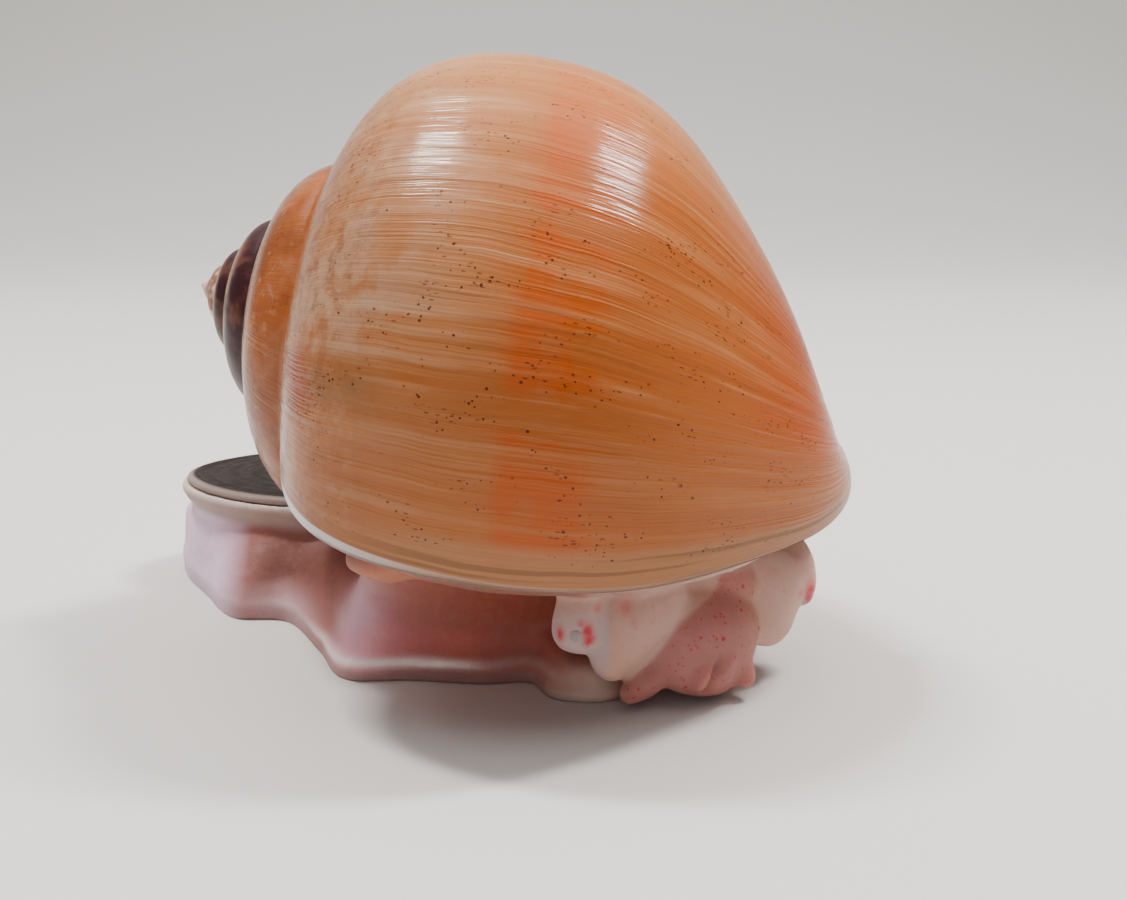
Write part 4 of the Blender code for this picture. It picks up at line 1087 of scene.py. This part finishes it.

# %% [markdown]
# ## Shell finish: zones, wear and marks
# The last whorl is chalky near the suture, red along the far edge and richer near the lip; a brighter orange
# on its top is painted light, and a darker band along its suture is painted shade. The whorl before it is
# rubbed, and the oldest ones are worn almost black, with a pale tip. Small dark pits lie in rows, and the lip
# is white where the shell is freshly made. These could be painted on by hand. As layers placed by the growth
# map they stay sharp from near, and each can be changed alone.


# %% Zones, wear and marks
def shell_zones(g, colour, strip, patch, chalk):
    """Chalk, the richer low part, orange strip, rubbed whorl, painted light on top, red edge, painted shade
    at the suture.
    """
    colour = g.paint(colour, (0.37, 0.25, 0.17), chalk, 0.50)
    colour = g.paint(colour, (0.33, 0.095, 0.020), g.fit(g.turn, -0.115, -0.055), g.fit(g.around, 0.17, 0.22),
                     0.55)
    streaks = g.plus(g.times(patch, 0.30), g.fit(g.wide, 0.38, 0.60, 0.10, 0.45))
    colour = g.paint(colour, (0.40, 0.066, 0.004), strip, g.last, g.fit(g.mid, 0.62, 0.48, 0.3, 1.0), streaks)
    before = g.fit(g.turn, -0.90, -1.0)
    rubbed = g.noise(170.0, 4.0, 0.6)
    colour = g.paint(colour, (0.26, 0.070, 0.024), before, g.fit(g.cloud, 0.36, 0.58, 0.75, 0.34))
    colour = g.paint(colour, (0.34, 0.155, 0.085), before, g.fit(rubbed, 0.50, 0.64, 0.0, 0.40))
    colour = g.paint(colour, (0.16, 0.042, 0.016), before, g.fit(rubbed, 0.50, 0.36, 0.0, 0.65))
    blotch = g.noise(800.0, 4.0, 0.7)
    beside = g.fit(g.around, 0.36, 0.24)
    colour = g.paint(colour, (0.20, 0.052, 0.020), g.fit(blotch, 0.50, 0.38, 0.0, 0.5), beside)
    colour = g.paint(colour, (0.50, 0.27, 0.17), g.fit(blotch, 0.54, 0.66, 0.0, 0.4), beside)
    # Painted light: a brighter orange on the top of the last whorl, where the light from above falls.
    colour = g.paint(colour, (0.72, 0.30, 0.10), g.fit(g.turn, -0.185, -0.30), g.fit(g.turn, -0.62, -0.42),
                     0.42)
    colour = g.paint(colour, (0.36, 0.12, 0.035), g.fit(g.cloud, 0.46, 0.30), 0.30)
    colour = g.paint(colour, (0.41, 0.066, 0.014), g.fit(g.around, 0.66, 0.82), g.fit(g.turn, -0.065, -0.11),
                     g.fit(g.turn, -0.36, -0.22), 0.62)
    blush = g.math("MULTIPLY", g.patch_at(-0.069, 0.030, 0.222, 0.056), g.fit(g.cloud, 0.34, 0.56, 0.55, 1.4),
                   clamp=True)
    colour = g.paint(colour, (0.27, 0.042, 0.012), blush, 0.78)
    colour = g.paint(colour, (0.16, 0.080, 0.030), g.patch_at(-0.074, 0.020, 0.295, 0.080),
                     g.fit(g.cloud, 0.30, 0.62, 0.05, 0.75))
    # Painted shade: the last whorl darker along the suture, where the whorls meet.
    colour = g.paint(colour, (0.22, 0.085, 0.036), g.fit(g.around, 0.19, 0.13), g.last, 0.6)
    near_lip = g.times(g.fit(g.grown, -0.020, -0.013), g.fit(g.around, 0.26, 0.42))
    colour = g.paint(colour, (0.36, 0.165, 0.075), near_lip, 0.75)
    rings = g.lines(300.0, 0.5, 5.0, 1.0)
    return g.paint(colour, (0.15, 0.065, 0.025), near_lip, g.fit(rings, 0.48, 0.38, 0.0, 0.6))


def shell_spire(g, colour, old):
    """The oldest whorls: worn dark with pale ridges, then the pale tip and the shoulders' light lines."""
    speck = g.noise(420.0, 3.0)
    dark = g.mix(g.fit(speck, 0.45, 0.65), (0.034, 0.011, 0.013), (0.11, 0.040, 0.030))
    worn = g.paint(dark, (0.42, 0.26, 0.16), g.fit(g.around, 0.250, 0.170),
                   g.fit(speck, 0.38, 0.50, 0.2, 1.0))
    colour = g.paint(colour, worn, old)
    tip = g.mix(g.fit(g.noise(600.0, 2.0), 0.50, 0.60), (0.70, 0.48, 0.40), (0.26, 0.12, 0.085))
    colour = g.paint(colour, tip, g.fit(g.turn, -3.55, -3.75))
    return g.paint(colour, (0.58, 0.42, 0.32), g.fit(g.around, 0.235, 0.140), g.fit(g.turn, -0.8, -1.0),
                   g.fit(g.turn, -1.86, -1.72, 0.0, 0.8))


def shell_pits(g, colour):
    """Dark pits and short dashes in rows along the growth."""
    sizes = g.fit(g.noise(2400.0, 2.0), 0.30, 0.70, 0.0, 0.28)
    rows = g.lines(60.0, 4.0, 3.0, 2.0)
    dots = g.cells(1.0, g.on_map(360.0, 40.0))
    dashes = g.cells(1.0, g.on_map(560.0, 22.0, 7.0))
    pit = g.times(g.fit(g.math("SUBTRACT", dots, sizes), 0.02, -0.04), g.fit(rows, 0.49, 0.56))
    dash = g.times(g.fit(dashes, 0.24, 0.16), g.fit(rows, 0.56, 0.62), 0.8)
    return g.paint(colour, (0.060, 0.014, 0.006), g.math("MAXIMUM", pit, dash), g.fit(g.turn, -0.008, -0.02),
                   0.92)


def shell_rim(g, colour):
    """The fresh lip: white and wide near the suture, narrow and tan towards the front, darker inside."""
    rim = g.value_of("rim")
    width = g.fit(g.around, 0.28, 0.48, -0.0056, -0.0024)
    white = g.math("MAXIMUM", g.fit(g.math("SUBTRACT", g.turn, width), -0.0005, 0.0005),
                   g.fit(rim, 0.75, 0.98))
    fresh = g.mix(g.fit(g.around, 0.24, 0.44), (0.68, 0.64, 0.64), (0.40, 0.24, 0.17))
    colour = g.paint(colour, fresh, white)
    return g.paint(colour, (0.42, 0.27, 0.21), g.fit(rim, 0.05, 0.5), g.fit(rim, 0.95, 0.7))


def shell_finish(g):
    """All layers of the shell, its gloss, duller where it is chalky or old, and the relief of its lines."""
    chalk = g.times(g.fit(g.cloud, 0.46, 0.62), g.fit(g.around, 0.46, 0.26), g.last,
                    g.fit(g.turn, -0.045, -0.085, 0.15, 1.0))
    old = g.times(g.fit(g.turn, -1.72, -1.86), g.fit(g.turn, -3.75, -3.55))
    colour = shell_zones(g, *shell_ground(g), chalk)
    colour = shell_rim(g, shell_pits(g, shell_spire(g, colour, old)))
    dull = g.times(g.math("MAXIMUM", old, chalk), 0.14)
    rough = g.math("ADD", g.fit(g.cloud, 0.3, 0.7, 0.13, 0.22), dull, clamp=True)
    grooves = g.lines(620.0, 1.0, 6.0, 1.0)
    height = g.plus(g.times(g.mid, 0.22), g.times(g.fine, 0.30), g.times(grooves, 0.22))
    height = g.times(height, g.fit(g.turn, -1.3, -0.9, 0.25, 1.0))
    height = g.plus(height, g.times(g.noise(700.0, 2.0), 0.05), g.times(chalk, g.noise(1400.0, 2.0), 0.12))
    return colour, rough, height


shell_growth = finish_group("shell_growth", shell_finish, ShellGraph)

# %% [markdown]
# ## Wet skin, horn and eyes
# Wet skin is soft and a little see-through, so its light comes partly from below the surface. Its tint is on
# the mesh; the material adds mottling, crimson dots and a fine grain. Horn is dark and dull, with lines that
# follow its growth rings and a worn pale edge. The eyes carry the skin's tint with a slightly wetter gloss.


# %% Skin, horn and eye finishes
def skin_finish(g):
    """Tint with fine mottling, crimson dots where the attribute asks for them, and a soft grain."""
    broad = g.noise(180.0, 3.0)
    grain = g.noise(1500.0, 3.0, 0.65)
    colour = g.mix(g.fit(broad, 0.50, 0.80, 0.0, 0.06), g.value_of("tint", "Color"), (0.60, 0.34, 0.30))
    colour = g.mix(g.fit(broad, 0.48, 0.25, 0.0, 0.18), colour, (0.26, 0.08, 0.06))
    colour = g.mix(g.fit(grain, 0.48, 0.66, 0.0, 0.05), colour, (0.62, 0.42, 0.38))
    small = g.times(g.fit(g.cells(2300.0), 0.30, 0.16), g.fit(g.noise(1100.0, 1.0), 0.49, 0.55), 0.6)
    large = g.times(g.fit(g.cells(1200.0), 0.26, 0.15), g.fit(g.noise(700.0, 1.0), 0.54, 0.60), 0.9)
    dots = g.math("ADD", small, large, clamp=True)
    colour = g.paint(colour, (0.42, 0.03, 0.035), dots, g.value_of("dots"))
    return colour, g.fit(broad, 0.3, 0.7, 0.48, 0.62), g.plus(g.times(grain, 0.5), g.times(broad, 0.8))


def horn_finish(g):
    """Dark horn with a pale worn edge; fine lines follow the rings of its growth."""
    spread = g.value_of("spread")
    cloud = g.noise(260.0, 4.0)
    fine = g.noise(1400.0, 3.0)
    lines = g.noise(1.0, 3.0, vector=g.place(g.times(spread, 90.0), g.times(cloud, 1.2)))
    colour = g.mix(g.fit(lines, 0.35, 0.65), (0.012, 0.007, 0.006), (0.020, 0.013, 0.012))
    for mask, over in ((g.fit(cloud, 0.5, 0.8, 0.0, 0.4), (0.042, 0.030, 0.028)),
                       (g.fit(fine, 0.56, 0.7, 0.0, 0.4), (0.075, 0.055, 0.048)),
                       (g.fit(spread, 0.945, 0.99, 0.0, 0.8), (0.36, 0.27, 0.24))):
        colour = g.mix(mask, colour, over)
    return colour, g.fit(cloud, 0.3, 0.7, 0.45, 0.65), g.plus(lines, g.times(fine, 0.4))


def eye_finish(g):
    """The tint of the cap, grey in the middle and crimson at two sides, with fine mottling."""
    mottle = g.noise(2600.0, 2.0)
    colour = g.mix(g.fit(mottle, 0.40, 0.66, 0.0, 0.35), g.value_of("tint", "Color"), (0.50, 0.26, 0.24))
    return colour, g.fit(mottle, 0.3, 0.7, 0.28, 0.4), mottle


wet_skin = finish_group("wet_skin", skin_finish)
horn_rings = finish_group("horn_rings", horn_finish)
eye_ring = finish_group("eye_ring", eye_finish)

# %% [markdown]
# ## Materials on the pieces
# Each material could be built by itself. One function makes all four, because they differ only in their
# group and a few constants: the shader stays in the material, with those constants on its own sockets.
# Every piece then takes the place of its solids, rides on the body, and gets its finish.

# %% Materials and the places of the pieces
SOFT = {"Subsurface_Weight": 0.35, "Subsurface_Scale": 0.003, "Subsurface_Radius": (1.0, 0.35, 0.25)}


def new_material(name):
    """A new material, with its tree and the sockets of its shader."""
    made = bpy.data.materials.new(name)
    made.use_nodes = True
    return made, made.node_tree, made.node_tree.nodes["Principled BSDF"].inputs


def material(name, effects, bump, **constants):
    """A material round one node group: its colour, roughness and relief feed the shader."""
    made, tree, shader = new_material(name)
    use = tree.nodes.new("ShaderNodeGroup")
    use.node_tree = effects
    relief = tree.nodes.new("ShaderNodeBump")
    relief.inputs["Distance"].default_value = bump
    relief.inputs["Strength"].default_value = 1.0
    tree.links.new(use.outputs["Height"], relief.inputs["Height"])
    tree.links.new(use.outputs["Colour"], shader["Base Color"])
    tree.links.new(use.outputs["Roughness"], shader["Roughness"])
    tree.links.new(relief.outputs[0], shader["Normal"])
    for label, value in constants.items():
        shader[label.replace("_", " ")].default_value = value
    return made


FINISHES = {
    "shell": material("shell_glaze", shell_growth, 0.00024, Specular_IOR_Level=0.20, Subsurface_Weight=0.04,
                      Subsurface_Scale=0.002, Subsurface_Radius=(1.0, 0.5, 0.25)),
    "flesh": material("wet_flesh", wet_skin, 0.00010, Specular_IOR_Level=0.35, **SOFT),
    "horn": material("dark_horn", horn_rings, 0.00008, Specular_IOR_Level=0.14),
    "eye": material("eye_lens", eye_ring, 0.00002, **SOFT),
}
FLESH_NODES = ("body_stalk", "foot_front", "foot_middle", "foot_tail", "head", "mantle", "nuchal_lobe_right",
               "opercular_lobe", "palp_left", "palp_right", "siphon", "snout", "tentacle_left",
               "tentacle_right", "eyestalk_left", "eyestalk_right")
PIECES = ((shell, "shell", ("shell",)), (flesh, "flesh", FLESH_NODES), (plate, "horn", ("operculum",)),
          (eyes["eye_right"], "eye", ("eye_right",)), (eyes["eye_left"], "eye", ("eye_left",)))
for piece, look, nodes in PIECES:
    piece.data.materials.append(FINISHES[look])
    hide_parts(*nodes)
    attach(piece, "root")
print("materials", sorted(FINISHES))

# %% [markdown]
# ## Floor
# A museum model is shown on plain ground. A flat plane would end in a hard line behind it, so the floor is
# one strip that runs flat under the model and sweeps up behind it in a quarter circle.

# %% The floor
FLOOR_HALF = 2.5                  # this cell and the next are in metres
FLOOR_FRONT = -2.0
SWEEP_START = 0.30
SWEEP_RADIUS = 0.5
SWEEP_TOP = 2.2
FLOOR_DROP = 0.00004              # under the sole, so that the two surfaces don't fight

arc = np.linspace(0, math.pi / 2, 25)
along_y = np.concatenate([[FLOOR_FRONT, SWEEP_START], SWEEP_START + SWEEP_RADIUS * np.sin(arc[1:]),
                          [SWEEP_START + SWEEP_RADIUS]])
along_z = np.concatenate([[0.0, 0.0], SWEEP_RADIUS - SWEEP_RADIUS * np.cos(arc[1:]), [SWEEP_TOP]])
side_x = np.array([-FLOOR_HALF, FLOOR_HALF])
sweep = np.stack([np.repeat(side_x, len(along_y)), np.tile(along_y, 2), np.tile(along_z, 2)], 1)
step = np.arange(len(along_y) - 1)
sweep_faces = np.stack([step, step + len(along_y), step + len(along_y) + 1, step + 1], 1)
floor_mesh = bpy.data.meshes.new("floor")
floor_mesh.from_pydata(sweep.tolist(), [], sweep_faces.tolist())
floor_mesh.shade_smooth()
floor = add_object("floor", floor_mesh)
floor.location = (0, 0, -FLOOR_DROP)
paint, _, shader = new_material("floor_paint")
shader["Base Color"].default_value = (0.62, 0.60, 0.58, 1.0)
shader["Roughness"].default_value = 0.8
floor_mesh.materials.append(paint)
print("floor", len(sweep_faces), "faces")

# %% [markdown]
# ## Light and camera
# The photo shows two narrow highlights on the top of the shell. Two small lamps above it make them; a wide
# soft lamp over the model and a weak one in front light the rest. The camera stands where the shell's
# measured shape puts it, with the focal length that fits the outline.

# %% Lamps, world and camera
MIDDLE = (0.0, 0.0, 0.025)
FOCAL_PIXELS = 1400.0
PHOTO_WIDTH = 1127.0
SENSOR = 36.0


def lamp(name, place, size, power, colour):
    """A rectangular lamp at a place, turned to the middle of the model."""
    data = bpy.data.lights.new(name, "AREA")
    data.shape = "RECTANGLE"
    data.size, data.size_y = size
    data.energy = power
    data.color = colour
    made = add_object(name, data)
    made.location = place
    made.rotation_euler = (Vector(MIDDLE) - Vector(place)).to_track_quat("-Z", "Y").to_euler()


lamp("lamp_left", (-0.16, 0.06, 0.42), (0.035, 0.10), 2.4, (1.0, 0.97, 0.93))
lamp("lamp_right", (0.20, 0.05, 0.38), (0.035, 0.10), 2.1, (1.0, 0.97, 0.93))
lamp("lamp_over", (0.0, 0.05, 0.80), (1.2, 1.0), 8.3, (1.0, 0.98, 0.95))
lamp("fill_front", (-0.10, -0.50, 0.30), (0.50, 0.40), 0.40, (1.0, 0.96, 0.93))
world = bpy.data.worlds.new("studio")
world.use_nodes = True
world.node_tree.nodes["Background"].inputs[0].default_value = (0.80, 0.83, 0.88, 1.0)
world.node_tree.nodes["Background"].inputs[1].default_value = 0.14
bpy.context.scene.world = world

camera_data = bpy.data.cameras.new("camera")
camera_data.sensor_width = SENSOR
camera_data.sensor_fit = "HORIZONTAL"
camera_data.lens = FOCAL_PIXELS / PHOTO_WIDTH * SENSOR
camera_data.clip_start = 0.005
camera = add_object("camera", camera_data)
camera.location = (0.002, -0.107, 0.040)
camera.rotation_euler = (math.radians(77.0), 0.0, 0.0)
bpy.context.scene.camera = camera
print("camera", camera_data.lens)
